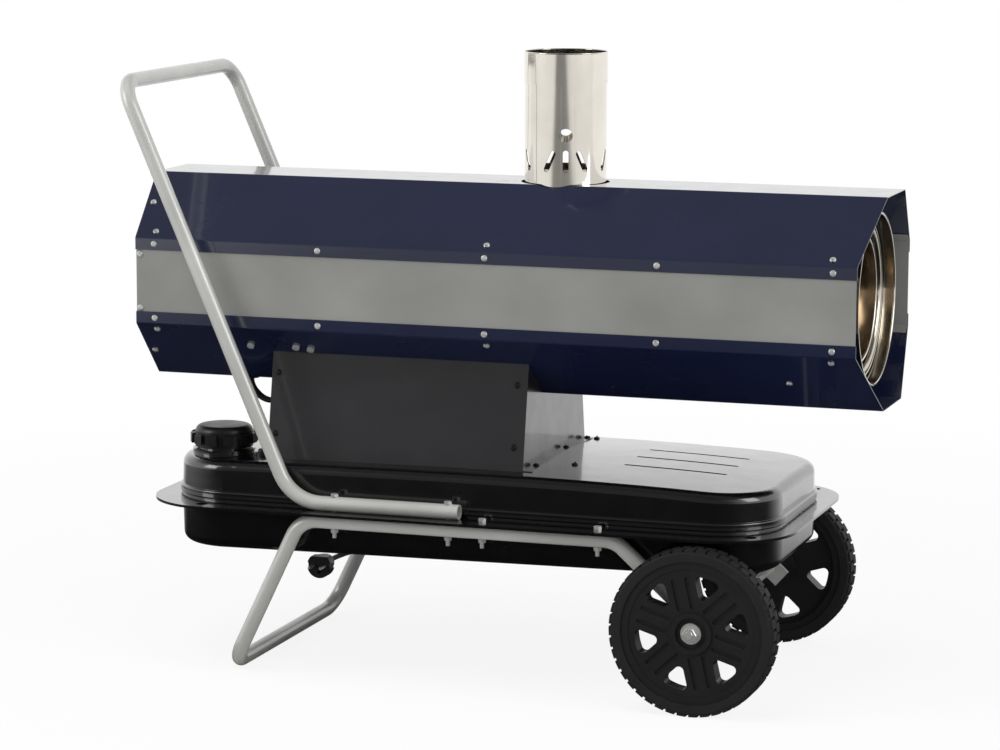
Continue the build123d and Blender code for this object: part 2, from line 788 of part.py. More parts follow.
# Two ignition electrodes in ceramic sleeves
with BuildPart() as ignition_electrodes:
    with BuildSketch(duct_plane.offset(burner_tube_rear_x - 14)):
        with Locations((-electrode_spread, 18), (electrode_spread, 18)):
            Circle(electrode_radius)
    extrude(amount=burner_tube_front_x - burner_tube_rear_x - 6)
ignition_electrodes.part.label = "ignition_electrodes"
export_step(ignition_electrodes.part, "parts/ignition_electrodes.step")

# Photocell that watches the flame
with BuildPart() as flame_sensor:
    with BuildSketch(duct_plane.offset(burner_tube_rear_x - 16)):
        with Locations((0, -24)):
            Circle(sensor_radius)
    extrude(amount=34)
flame_sensor.part.label = "flame_sensor"
export_step(flame_sensor.part, "parts/flame_sensor.step")


def crown_section(x, edge_z, middle_z, low_z, drop):
    """One cross section of the tank's crowned top, from low_z up, lowered by drop."""
    half = tank_half_width + 30
    with BuildSketch(Plane.YZ.offset(x)) as section:
        with BuildLine():
            Polyline((-half, edge_z - drop), (-half, low_z), (half, low_z), (half, edge_z - drop))
            ThreePointArc((-half, edge_z - drop), (0, middle_z - drop), (half, edge_z - drop))
        make_face()
    return section.sketch


crown_stations = (
    (tank_rear_x - 40, 303.0, 308.5),
    (tank_rear_x + 120, 307.5, 314.5),
    (-200.0, 309.3, 318.0),
    (150.0, 309.3, 318.0),
    (tank_front_x - 110, 305.5, 312.5),
    (tank_front_x + 40, 298.5, 303.0),
)


def crown_form(drop):
    """A block under the tank's crowned top, lowered by drop."""
    with BuildPart() as crown:
        for x, edge_z, middle_z in crown_stations:
            add(crown_section(x, edge_z, middle_z, seam_z - 20, drop))
        loft()
    return crown.part


def upper_form(inset):
    """The upper shell's form, filled, with its walls and crown moved in by inset."""
    with BuildPart() as form:
        with BuildSketch(Plane.XY.offset(seam_z)):
            with Locations((tank_mid_x, 0)):
                RectangleRounded(tank_length - 2 * inset, 2 * (tank_half_width - inset), tank_corner - inset)
        extrude(amount=90, taper=tank_draft)
        add(crown_form(inset), mode=Mode.INTERSECT)
        fillet(form.faces().sort_by(Axis.Z)[-1].edges(), tank_edge_radius - inset)
    return form.part


def lower_form(inset):
    """The lower shell's form, filled: its floor falls towards the rear end."""
    with BuildPart() as form:
        with BuildSketch(Plane.XY.offset(seam_z)):
            with Locations((tank_mid_x, 0)):
                RectangleRounded(tank_length - 2 * inset, 2 * (tank_half_width - inset), tank_corner - inset)
        extrude(amount=-90, taper=tank_draft)
        with BuildSketch(Plane.XZ):
            with BuildLine():
                Polyline(
                    (tank_rear_x - 5, seam_z + 5),
                    (tank_rear_x - 5, tank_bottom_rear_z + inset),
                    (tank_front_x + 5, tank_bottom_front_z + inset),
                    (tank_front_x + 5, seam_z + 5),
                    close=True,
                )
            make_face()
        extrude(amount=tank_half_width + 5, both=True, mode=Mode.INTERSECT)
        fillet(form.faces().sort_by(Axis.Z)[0].edges(), tank_edge_radius - inset)
    return form.part


def flange_plan():
    """Plan of the flange that both tank shells share."""
    with BuildSketch() as plan:
        with Locations((flange_mid_x, 0)):
            RectangleRounded(flange_length, 2 * flange_half_width, flange_corner)
    return plan.sketch


def foot_bead():
    """A rounded bead that runs round the foot of the upper shell."""
    with BuildPart() as bead:
        with BuildSketch(Plane.XY.offset(flange_top_z + bead_lift)):
            with Locations((tank_mid_x, 0)):
                RectangleRounded(
                    tank_length + 2 * bead_proud,
                    2 * (tank_half_width + bead_proud),
                    tank_corner + bead_proud,
                )
        extrude(amount=bead_height)
        fillet(bead.edges().group_by(Axis.Z)[0] + bead.edges().group_by(Axis.Z)[-1], bead_proud - 0.5)
    return bead.part


tank_form = upper_form(0)
tank_floor_form = lower_form(0)


def tank_top_z(x, y, reach=0.5):
    """Highest point of the crowned tank top within this reach of a place on the plan."""
    with BuildPart() as probe:
        with Locations((x, y, seam_z)):
            Cylinder(reach, 100, align=(Align.CENTER, Align.CENTER, Align.MIN))
        add(tank_form, mode=Mode.INTERSECT)
    return probe.part.bounding_box().max.Z


handle_bolt_x = (-219.5, -44.5)
stand_bolt_x = (7.5, 181.0)
handle_bolt_spots = [(x, side * tube_y) for x in handle_bolt_x for side in (-1, 1)]
stand_bolt_spots = [(x, side * tube_y) for x in stand_bolt_x for side in (-1, 1)]
bolt_spots = handle_bolt_spots + stand_bolt_spots
lash_rear_y = flange_half_width - 22.0
lash_front_y = flange_half_width - 42.0
lash_spots = [(-425, lash_rear_y), (-425, -lash_rear_y), (402, lash_front_y), (402, -lash_front_y)]
vent_spot = (-363, -130)
vent_stem_radius = 4.0
foot_width = 14.0
foot_screw_x = box_front_x + foot_width / 2
foot_screw_spots = [(foot_screw_x, -112), (foot_screw_x, 36), (foot_screw_x, 145)]
top_screw_spots = [(109, -85), (72, 150)]


def top_grooves():
    """Strips that cut three shallow grooves along the crowned top."""
    middle_x = groove_start_x + groove_length / 2
    with BuildPart() as strips:
        with BuildSketch(Plane.XY.offset(seam_z + 40)):
            with Locations(*[(middle_x, groove_middle_y + k * groove_pitch) for k in (-1, 0, 1)]):
                SlotOverall(groove_length, groove_width)
        extrude(amount=60)
        add(crown_form(groove_depth), mode=Mode.SUBTRACT)
    return strips.part


# Upper tank shell: crowned top, bead round its foot, flange, grooves and holes
with BuildPart() as tank_upper:
    add(tank_form)
    add(foot_bead())
    with BuildSketch(Plane.XY.offset(seam_z)):
        add(flange_plan())
    extrude(amount=tank_sheet)
    add(upper_form(tank_sheet), mode=Mode.SUBTRACT)
    add(top_grooves(), mode=Mode.SUBTRACT)
    with Locations((filler_x, filler_y, 340)):
        Hole(radius=neck_radius, depth=60)
    with Locations((pipe_x, 0, 340)):
        Hole(radius=pipe_radius + slip, depth=60)
    with Locations((*vent_spot, 340)):
        Hole(radius=vent_stem_radius, depth=60)
    with Locations(*[(x, y, 340) for x, y in foot_screw_spots + top_screw_spots]):
        Hole(radius=screw_shank_radius, depth=60)
    with Locations(*[(x, y, flange_top_z) for x, y in bolt_spots]):
        Hole(radius=bolt_radius + slip, depth=10)
    with Locations(*[(x, y, flange_top_z) for x, y in lash_spots]):
        Hole(radius=lash_hole_radius, depth=10)
tank_upper.part.label = "tank_upper"
export_step(tank_upper.part, "parts/tank_upper.step")

# Lower tank shell with its half of the flange
drain_x = -420.0
drain_radius = 9.0
with BuildPart() as tank_lower:
    add(tank_floor_form)
    with BuildSketch(Plane.XY.offset(flange_low_z)):
        add(flange_plan())
    extrude(amount=tank_sheet)
    add(lower_form(tank_sheet), mode=Mode.SUBTRACT)
    with Locations((drain_x, 0, seam_z - 47)):
        Hole(radius=drain_radius, depth=40)
    with Locations(*[(x, y, seam_z) for x, y in bolt_spots]):
        Hole(radius=bolt_radius + slip, depth=10)
    with Locations(*[(x, y, seam_z) for x, y in lash_spots]):
        Hole(radius=lash_hole_radius, depth=10)
tank_lower.part.label = "tank_lower"
export_step(tank_lower.part, "parts/tank_lower.step")

# Filler neck with its flange on the tank and one turn of thread
neck_outer = neck_radius - slip
neck_flange_radius = 47.0
neck_flange_z = tank_top_z(filler_x, filler_y) + 3.0
with BuildPart() as filler_neck:
    with BuildSketch(Plane.XY.offset(seam_z + 30)):
        with Locations((filler_x, filler_y)):
            Circle(neck_flange_radius)
    extrude(amount=neck_flange_z - seam_z - 30)
    add(tank_form, mode=Mode.SUBTRACT)
    with BuildSketch(Plane.XY.offset(neck_top_z - 50)):
        with Locations((filler_x, filler_y)):
            Circle(neck_outer)
    extrude(amount=50)
    with BuildSketch(Plane.XY.offset(neck_top_z - 9)):
        with Locations((filler_x, filler_y)):
            Circle(neck_outer + 3.2)
    extrude(amount=4)
    with BuildSketch(Plane.XY.offset(seam_z)):
        with Locations((filler_x, filler_y)):
            Circle(neck_outer - neck_sheet)
    extrude(amount=neck_top_z - seam_z, mode=Mode.SUBTRACT)
filler_neck.part.label = "filler_neck"
export_step(filler_neck.part, "parts/filler_neck.step")

# Strainer basket that hangs in the neck by its rim
strainer_radius = neck_outer - neck_sheet - 1.0
strainer_rim_height = 1.0
strainer_depth = 95.0
with BuildPart() as filler_strainer:
    with BuildSketch(Plane.XY.offset(neck_top_z)):
        with Locations((filler_x, filler_y)):
            Circle(neck_outer)
    extrude(amount=strainer_rim_height)
    with BuildSketch(Plane.XY.offset(neck_top_z)):
        with Locations((filler_x, filler_y)):
            Circle(strainer_radius)
    extrude(amount=-strainer_depth)
    with BuildSketch(Plane.XY.offset(neck_top_z - strainer_depth + 1)):
        with Locations((filler_x, filler_y)):
            Circle(strainer_radius - 1)
    extrude(amount=strainer_depth + strainer_rim_height, mode=Mode.SUBTRACT)
    for turn in range(0, 180, 30):
        c, s = math.cos(math.radians(turn)), math.sin(math.radians(turn))
        row_middle = (filler_x, filler_y, neck_top_z - strainer_depth / 2 - 6)
        row = Plane(origin=row_middle, x_dir=(0, 0, 1), z_dir=(c, s, 0))
        with BuildSketch(row):
            with GridLocations(15, 1, 5, 1):
                Circle(4)
        extrude(amount=strainer_radius + 5, both=True, mode=Mode.SUBTRACT)
filler_strainer.part.label = "filler_strainer"
export_step(filler_strainer.part, "parts/filler_strainer.step")

# Screw cap with a scalloped grip, a plain skirt below it and a low dome
cap_rim_z = cap_base_z + cap_rim_height
cap_skirt_height = 6.0
cap_valley = cap_radius - 5.0
cap_lobe_width = 16.0
cap_cavity_radius = neck_outer + 4.0
cap_cavity_z = neck_top_z + strainer_rim_height + slip + seal_height
with BuildPart() as filler_cap:
    with BuildSketch(Plane.XY.offset(cap_base_z)):
        with Locations((filler_x, filler_y)):
            Circle(cap_valley - 1.5)
    extrude(amount=cap_skirt_height)
    with BuildSketch(Plane.XY.offset(cap_base_z + cap_skirt_height)) as grip:
        with Locations((filler_x, filler_y)):
            Circle(cap_valley)
            with PolarLocations(cap_radius - 9, cap_lobes):
                Rectangle(18, cap_lobe_width)
    extrude(amount=cap_rim_height - cap_skirt_height)
    chamfer(filler_cap.edges().group_by(Axis.Z)[-1], 1.5)
    with BuildSketch(Plane.XY.offset(cap_rim_z)):
        with Locations((filler_x, filler_y)):
            Circle(cap_valley - 2)
    extrude(amount=cap_dome_height)
    fillet(filler_cap.edges().group_by(Axis.Z)[-1], cap_dome_height * 0.85)
    with BuildSketch(Plane.XY.offset(cap_base_z)):
        with Locations((filler_x, filler_y)):
            Circle(cap_cavity_radius)
    extrude(amount=cap_cavity_z - cap_base_z, mode=Mode.SUBTRACT)
filler_cap.part.label = "filler_cap"
export_step(filler_cap.part, "parts/filler_cap.step")

# Seal ring under the top of the cap
with BuildPart() as cap_gasket:
    with BuildSketch(Plane.XY.offset(cap_cavity_z - seal_height)):
        with Locations((filler_x, filler_y)):
            Circle(cap_cavity_radius - slip)
            Circle(strainer_radius - 2, mode=Mode.SUBTRACT)
    extrude(amount=seal_height)
cap_gasket.part.label = "cap_gasket"
export_step(cap_gasket.part, "parts/cap_gasket.step")

# Tank vent beside the cap
vent_base_radius = 11.0
vent_z = tank_top_z(*vent_spot)
with BuildPart() as tank_vent:
    with BuildSketch(Plane.XY.offset(vent_z - 6)):
        with Locations(vent_spot):
            Circle(vent_base_radius)
    extrude(amount=9)
    with BuildSketch(Plane.XY.offset(vent_z)):
        with Locations(vent_spot):
            Circle(vent_base_radius - 4)
    extrude(amount=9)
    fillet(tank_vent.edges().group_by(Axis.Z)[-1], 3)
    add(tank_form, mode=Mode.SUBTRACT)
    with BuildSketch(Plane.XY.offset(vent_z + 1)):
        with Locations(vent_spot):
            Circle(vent_stem_radius)
    extrude(amount=-14)
tank_vent.part.label = "tank_vent"
export_step(tank_vent.part, "parts/tank_vent.step")

# Drain plug at the low end of the tank
drain_z = tank_bottom_rear_z
with BuildPart() as drain_plug:
    with Locations((drain_x, 0, drain_z - 9)):
        add(hexagon_prism(22.0, 8.0))
    with BuildSketch(Plane.XY.offset(drain_z - 2)):
        with Locations((drain_x, 0)):
            Circle(14)
    extrude(amount=6)
    add(tank_floor_form, mode=Mode.SUBTRACT)
    with BuildSketch(Plane.XY.offset(drain_z - 2)):
        with Locations((drain_x, 0)):
            Circle(drain_radius)
    extrude(amount=12)
drain_plug.part.label = "drain_plug"
export_step(drain_plug.part, "parts/drain_plug.step")

# Suction pipe from the pump, down through the casing floor, to its filter in the tank
with BuildPart() as suction_pipe:
    with BuildSketch(Plane.XY.offset(pipe_foot_z)):
        with Locations((pipe_x, 0)):
            Circle(pipe_radius)
            Circle(pipe_radius - 1, mode=Mode.SUBTRACT)
    extrude(amount=pipe_top_z - pipe_foot_z)
    with BuildSketch(Plane.XY.offset(pipe_foot_z - 14)):
        with Locations((pipe_x, 0)):
            Circle(15)
    extrude(amount=16)
    with BuildSketch(Plane.XY.offset(pipe_foot_z + 2)):
        with Locations((pipe_x, 0)):
            Circle(15)
            Circle(pipe_radius - 0.5, mode=Mode.SUBTRACT)
    extrude(amount=6)
suction_pipe.part.label = "suction_pipe"
export_step(suction_pipe.part, "parts/suction_pipe.step")

# Control box
box_side_run = box_bottom_half - box_top_half
box_top_edge_z = casing_bottom_z + (box_top_half - casing_flat_half) * lower_rise / upper_run
box_side_rise = box_top_edge_z - box_bottom_z
box_side_length = math.hypot(box_side_run, box_side_rise)
box_flange = 18.0
box_low_z = box_bottom_z - 12
box_low_half = box_bottom_half + 12 * box_side_run / box_side_rise


def box_spot(side, x, z):
    """A place on a side cover of the box, facing out."""
    y = box_bottom_half - (z - box_bottom_z) * box_side_run / box_side_rise
    out = (0, side * box_side_rise / box_side_length, box_side_run / box_side_length)
    return Plane(origin=(x, side * y, z), x_dir=(1, 0, 0), z_dir=out)


with BuildPart() as casing_block:
    with BuildSketch(Plane.YZ.offset(box_rear_x - 20)):
        add(casing_outline(0))
    extrude(amount=box_front_x - box_rear_x + 40)
box_high_z = box_top_edge_z + 12
box_high_half = box_top_half - 12 * box_side_run / box_side_rise


def box_side_strip(side, x0, x1, outer, inner):
    """A sheet along one side of the box, between two depths below its outer face."""
    with BuildPart() as strip:
        with BuildSketch(Plane.YZ.offset(x0)):
            with BuildLine():
                Polyline(
                    (side * (box_high_half - outer), box_high_z),
                    (side * (box_low_half - outer), box_low_z),
                    (side * (box_low_half - inner), box_low_z),
                    (side * (box_high_half - inner), box_high_z),
                    close=True,
                )
            make_face()
        extrude(amount=x1 - x0)
        add(tank_form, mode=Mode.SUBTRACT)
        add(casing_block.part, mode=Mode.SUBTRACT)
    return strip.part


cover_screw_spots = [(35.0, 438.0), (35.0, 349.0), (-336.0, 438.0), (-336.0, 349.0)]

# Near cover of the box
with BuildPart() as box_cover:
    add(box_side_strip(-1, box_rear_x, box_front_x, 0, box_sheet))
    with Locations(*[box_spot(-1, x, z) for x, z in cover_screw_spots]):
        Hole(radius=screw_shank_radius, depth=4)
box_cover.part.label = "box_cover"
export_step(box_cover.part, "parts/box_cover.step")

switch_x = -60.0
lamp_x = -15.0
knob_x = -125.0
reset_x = -185.0
control_z = 400.0
switch_spot = box_spot(1, switch_x, control_z)
lamp_spot = box_spot(1, lamp_x, control_z)
knob_spot = box_spot(1, knob_x, control_z)
reset_spot = box_spot(1, reset_x, control_z)
gland_spot = box_spot(1, gland_x, gland_z)
switch_width = 28.0
switch_height = 21.0
lamp_radius = 6.0
bush_radius = 5.0
reset_radius = 6.0
gland_shank_radius = 8.0

# Far cover of the box, cut for the controls and the mains lead
with BuildPart() as control_panel:
    add(box_side_strip(1, box_rear_x, box_front_x, 0, box_sheet))
    with Locations(*[box_spot(1, x, z) for x, z in cover_screw_spots]):
        Hole(radius=screw_shank_radius, depth=4)
    with BuildSketch(switch_spot.offset(2)):
        Rectangle(switch_width, switch_height)
    extrude(amount=-6, mode=Mode.SUBTRACT)
    with Locations(lamp_spot):
        Hole(radius=lamp_radius, depth=6)
    with Locations(knob_spot):
        Hole(radius=bush_radius, depth=6)
    with Locations(reset_spot):
        Hole(radius=reset_radius + 3, depth=6)
    with Locations(gland_spot):
        Hole(radius=gland_shank_radius, depth=6)
control_panel.part.label = "control_panel"
export_step(control_panel.part, "parts/control_panel.step")


def box_end(x, out):
    """An end plate of the box, with side flanges that turn inwards."""
    half_high = box_high_half - box_sheet
    half_low = box_low_half - box_sheet
    with BuildPart() as end:
        with BuildSketch(Plane.YZ.offset(x)):
            with BuildLine():
                Polyline(
                    (half_high, box_high_z),
                    (half_low, box_low_z),
                    (-half_low, box_low_z),
                    (-half_high, box_high_z),
                    close=True,
                )
            make_face()
        extrude(amount=-out * box_sheet)
        add(tank_form, mode=Mode.SUBTRACT)
        add(casing_block.part, mode=Mode.SUBTRACT)
        x0 = min(x, x - out * box_flange)
        for side in (-1, 1):
            add(box_side_strip(side, x0, x0 + box_flange, box_sheet, 2 * box_sheet))
    return end.part


# End plates: the rear one with a hole for the leads, the front one with a foot on the tank
leads_entry_z = 381.0
with BuildPart() as box_ends:
    with BuildSketch(Plane.XY.offset(seam_z + 30)):
        with Locations((box_front_x - 1, 0)):
            Rectangle(foot_width + 1, 2 * (box_bottom_half - 2), align=(Align.MIN, Align.CENTER))
    extrude(amount=60)
    add(crown_form(-box_sheet), mode=Mode.INTERSECT)
    add(tank_form, mode=Mode.SUBTRACT)
    add(box_end(box_front_x, 1))
    add(box_end(box_rear_x, -1))
    with BuildSketch(Plane.YZ.offset(box_rear_x - 1)):
        with Locations((leads_y, leads_entry_z)):
            Circle(grommet_radius - 3)
    extrude(amount=5, mode=Mode.SUBTRACT)
    with Locations(*[(x, y, 340) for x, y in foot_screw_spots]):
        Hole(radius=screw_shank_radius, depth=60)
    with Locations(*[box_spot(side, x, z).offset(-1) for side in (-1, 1) for x, z in cover_screw_spots]):
        Hole(radius=screw_shank_radius, depth=4)
box_ends.part.label = "box_ends"
export_step(box_ends.part, "parts/box_ends.step")

# Pan-head screws of the casing, both box covers, the box foot and the tank top
with BuildPart() as pan_screws:
    with Locations(*upper_screws, *lower_screws):
        add(pan_screw.part)
    with Locations(*[p.offset(-casing_sheet) for p in panel_screws]):
        add(pan_screw.part)
    with Locations(*[box_spot(side, x, z) for side in (-1, 1) for x, z in cover_screw_spots]):
        add(pan_screw.part)
    for x, y in foot_screw_spots:
        with Locations((x, y, tank_top_z(x, y, screw_head_radius) + box_sheet)):
            add(pan_screw.part)
    for x, y in top_screw_spots:
        with Locations((x, y, tank_top_z(x, y, screw_head_radius))):
            add(pan_screw.part)
pan_screws.part.label = "pan_screws"
export_step(pan_screws.part, "parts/pan_screws.step")

# Ignition transformer and burner control unit, hung under the casing floor
with BuildPart() as ignition_transformer:
    with BuildSketch(Plane.XY.offset(casing_bottom_z)):
        with Locations((-110, 0)):
            Rectangle(96, 62)
    extrude(amount=-58)
    fillet(ignition_transformer.edges().filter_by(Axis.Z), 4)
ignition_transformer.part.label = "ignition_transformer"
export_step(ignition_transformer.part, "parts/ignition_transformer.step")

with BuildPart() as control_unit:
    with BuildSketch(Plane.XY.offset(casing_bottom_z)):
        with Locations((-225, 0)):
            Rectangle(86, 92)
    extrude(amount=-16)
    with BuildSketch(Plane.XY.offset(casing_bottom_z - 16)):
        with Locations((-225, 0)):
            Rectangle(74, 76)
    extrude(amount=-34)
    fillet(control_unit.edges().filter_by(Axis.Z), 3)
control_unit.part.label = "control_unit"
export_step(control_unit.part, "parts/control_unit.step")

# Housings of the power switch and of the reset button, and the rocker
rocker_radius = 7.4
rocker_rest = 10.0
rocker_gap = 0.5
with BuildPart() as switch_housings:
    with BuildSketch(switch_spot):
        Rectangle(switch_width + 5, switch_height + 5)
    extrude(amount=2)
    with BuildSketch(switch_spot):
        Rectangle(switch_width, switch_height)
    extrude(amount=-24)
    with BuildSketch(switch_spot.offset(2)):
        Rectangle(switch_width - 4, 2 * (rocker_radius + rocker_gap))
    extrude(amount=-2 - rocker_radius - 2, mode=Mode.SUBTRACT)
    with BuildSketch(reset_spot):
        Circle(reset_radius + 5)
    extrude(amount=2)
    with BuildSketch(reset_spot):
        Circle(reset_radius + 3)
    extrude(amount=-22)
    with BuildSketch(reset_spot.offset(2)):
        Circle(reset_radius + slip)
    extrude(amount=-16, mode=Mode.SUBTRACT)
switch_housings.part.label = "switch_housings"
export_step(switch_housings.part, "parts/switch_housings.step")

rocker_half = (switch_width - 4) / 2 - rocker_gap
rocker_plane = Plane(
    origin=switch_spot.from_local_coords((-rocker_half, 0, 0)),
    x_dir=switch_spot.y_dir,
    z_dir=(1, 0, 0),
)
with BuildPart() as rocker_switch:
    with BuildSketch(rocker_plane):
        Circle(rocker_radius)
        with Locations((0, 3.2)):
            Rectangle(40, 20, rotation=rocker_rest + 12, align=(Align.MAX, Align.MIN), mode=Mode.SUBTRACT)
            Rectangle(40, 20, rotation=rocker_rest - 12, align=(Align.MIN, Align.MIN), mode=Mode.SUBTRACT)
    extrude(amount=2 * rocker_half)
rocker_switch.part.label = "rocker_switch"
export_step(rocker_switch.part, "parts/rocker_switch.step")

# Signal lamp
with BuildPart() as signal_lamp:
    with BuildSketch(lamp_spot):
        Circle(lamp_radius + 2.5)
    extrude(amount=2)
    with BuildSketch(lamp_spot.offset(2)):
        Circle(lamp_radius)
    extrude(amount=3)
    fillet(signal_lamp.faces().sort_by(Axis.Y)[-1].edges(), 2)
    with BuildSketch(lamp_spot):
        Circle(lamp_radius)
    extrude(amount=-20)
signal_lamp.part.label = "signal_lamp"
export_step(signal_lamp.part, "parts/signal_lamp.step")

# Thermostat behind the panel, and the knob on its spindle
spindle_radius = 3.0
spindle_length = 12.0
knob_radius = 19.0
knob_height = 15.0
knob_gap = 2.5
with BuildPart() as thermostat:
    with BuildSketch(knob_spot.offset(-box_sheet)):
        Rectangle(34, 34)
    extrude(amount=-20)
    with BuildSketch(knob_spot.offset(-box_sheet)):
        Circle(bush_radius)
    extrude(amount=box_sheet + 2)
    with BuildSketch(knob_spot.offset(2)):
        Circle(spindle_radius + running)
    extrude(amount=-spindle_length, mode=Mode.SUBTRACT)
thermostat.part.label = "thermostat"
export_step(thermostat.part, "parts/thermostat.step")

with BuildPart() as thermostat_knob:
    with BuildSketch(knob_spot.offset(knob_gap)):
        Circle(knob_radius)
        with PolarLocations(knob_radius + 1, 24):
            Circle(1.6, mode=Mode.SUBTRACT)
    extrude(amount=knob_height)
    chamfer(thermostat_knob.edges().group_by(Axis.Y)[-1], 0.4)
    with BuildSketch(knob_spot.offset(knob_gap + knob_height)):
        Rectangle(5, 30)
    extrude(amount=3)
    with BuildSketch(knob_spot.offset(knob_gap)):
        Circle(spindle_radius)
    extrude(amount=-spindle_length + 2)
thermostat_knob.part.label = "thermostat_knob"
export_step(thermostat_knob.part, "parts/thermostat_knob.step")

# Reset button
with BuildPart() as reset_button:
    with BuildSketch(reset_spot.offset(-9)):
        Circle(reset_radius)
    extrude(amount=16)
    chamfer(reset_button.faces().sort_by(Axis.Y)[-1].edges(), 0.8)
reset_button.part.label = "reset_button"
export_step(reset_button.part, "parts/reset_button.step")

# Cable gland: hexagon on the panel, tapered boot round the lead
gland_end = gland_hex_height + gland_boot_length
with BuildPart() as cable_gland:
    with BuildSketch(gland_spot):
        RegularPolygon(radius=gland_hex_flats / 2, side_count=6, major_radius=False)
    extrude(amount=gland_hex_height)
    with BuildSketch(gland_spot):
        Circle(gland_shank_radius)
    extrude(amount=-12)
    with BuildSketch(gland_spot.offset(gland_hex_height - 0.5)):
        Circle(9)
    with BuildSketch(gland_spot.offset(gland_end)):
        Circle(lead_radius + 1.2)
    loft()
cable_gland.part.label = "cable_gland"
export_step(cable_gland.part, "parts/cable_gland.step")


def sleeve(points, radii, radius):
    """A round lead along straight runs joined by arcs."""
    with BuildPart() as lead:
        with BuildLine() as route:
            FilletPolyline(*points, radius=radii)
        with BuildSketch(Plane(origin=route.line @ 0, z_dir=route.line % 0)):
            Circle(radius)
        sweep()
    return lead.part


def easy_bends(points):
    """The widest even bend at each corner of a route."""
    radii = []
    for a, b, c in zip(points, points[1:], points[2:]):
        before = Vector(*b) - Vector(*a)
        after = Vector(*c) - Vector(*b)
        turn = math.radians(before.get_angle(after))
        radii.append(0.45 * min(before.length, after.length) / math.tan(turn / 2))
    return radii


# Two leads from the casing floor into the rear end of the box
burner_lead_radius = 3.5
burner_lead_pitch = 4.2
leads_inside = 12.0
with BuildPart() as burner_leads:
    for step in (-1, 1):
        y = leads_y + step * burner_lead_pitch
        points = [
            (leads_x, y, casing_bottom_z + leads_inside),
            (leads_x, y, leads_entry_z + 21),
            (leads_x + 21, y, leads_entry_z),
            (box_rear_x + leads_inside, y, leads_entry_z),
        ]
        add(sleeve(points, easy_bends(points), burner_lead_radius))
burner_leads.part.label = "burner_leads"
export_step(burner_leads.part, "parts/burner_leads.step")

# Rubber rings on the suction pipe and rubber bushes of the leads
with BuildPart() as grommets:
    with BuildSketch(Plane.XY.offset(tank_top_z(pipe_x, 0) - 5)):
        with Locations((pipe_x, 0)):
            Circle(10)
    extrude(amount=9)
    add(tank_form, mode=Mode.SUBTRACT)
    with BuildSketch(Plane.XY.offset(casing_bottom_z)):
        with Locations((pipe_x, 0)):
            Circle(10)
    extrude(amount=-4)
    with BuildSketch(Plane.XY.offset(seam_z)):
        with Locations((pipe_x, 0)):
            Circle(pipe_radius)
    extrude(amount=casing_bottom_z - seam_z + 10, mode=Mode.SUBTRACT)
    with BuildSketch(Plane.XY.offset(casing_bottom_z - 2.5)):
        with Locations((leads_x, leads_y)):
            Circle(grommet_radius)
    extrude(amount=2.5)
    with BuildSketch(Plane.XY.offset(casing_bottom_z)):
        with Locations((leads_x, leads_y)):
            Circle(grommet_radius - 3)
    extrude(amount=casing_sheet + 1.5)
    with BuildSketch(Plane.YZ.offset(box_rear_x - 2.5)):
        with Locations((leads_y, leads_entry_z)):
            Circle(grommet_radius)
    extrude(amount=2.5)
    with BuildSketch(Plane.YZ.offset(box_rear_x)):
        with Locations((leads_y, leads_entry_z)):
            Circle(grommet_radius - 3)
    extrude(amount=box_sheet + 1.5)
    add(burner_leads.part, mode=Mode.SUBTRACT)
grommets.part.label = "grommets"
export_step(grommets.part, "parts/grommets.step")


def bent_tube(points, radii):
    """A round tube bent along a route, open at both ends."""
    with BuildPart() as tube:
        with BuildLine() as route:
            FilletPolyline(*points, radius=radii)
        start = Plane(origin=route.line @ 0, z_dir=route.line % 0)
        with BuildSketch(start):
            Circle(tube_radius)
            Circle(tube_radius - tube_wall, mode=Mode.SUBTRACT)
        sweep()
    return tube.part


# Push handle: one tube bent from the flange up and across
with BuildPart() as handle_tube:
    side_points = [
        (handle_end_x, handle_z),
        (handle_foot_x, handle_z),
        (handle_top_x, handle_top_z),
    ]
    near = [(x, -tube_y, z) for x, z in side_points]
    far = [(x, tube_y, z) for x, z in reversed(side_points)]
    add(bent_tube(near + far, [handle_foot_bend, handle_top_bend, handle_top_bend, handle_foot_bend]))
    with Locations(*[(x, y, handle_z + tube_radius + 1) for x, y in handle_bolt_spots]):
        Hole(radius=bolt_radius + slip, depth=2 * tube_radius + 2)
handle_tube.part.label = "handle_tube"
export_step(handle_tube.part, "parts/handle_tube.step")

# Stand: one tube from axle to axle, under the flange and down to the floor
leg_run = axle_x - stand_front_x
leg_drop = stand_z - wheel_radius
leg_length = math.hypot(leg_run, leg_drop)
leg_cos = leg_run / leg_length
leg_sin = leg_drop / leg_length
flat_half = tube_flat_length / 2
tube_flat_sheet = 2 * tube_wall + 0.4


def leg_plane(side, distance):
    """A cross plane of the front leg, this far before the axle."""
    return Plane(
        origin=(axle_x - distance * leg_cos, side * tube_y, wheel_radius + distance * leg_sin),
        x_dir=(0, 1, 0),
        z_dir=(leg_cos, 0, -leg_sin),
    )


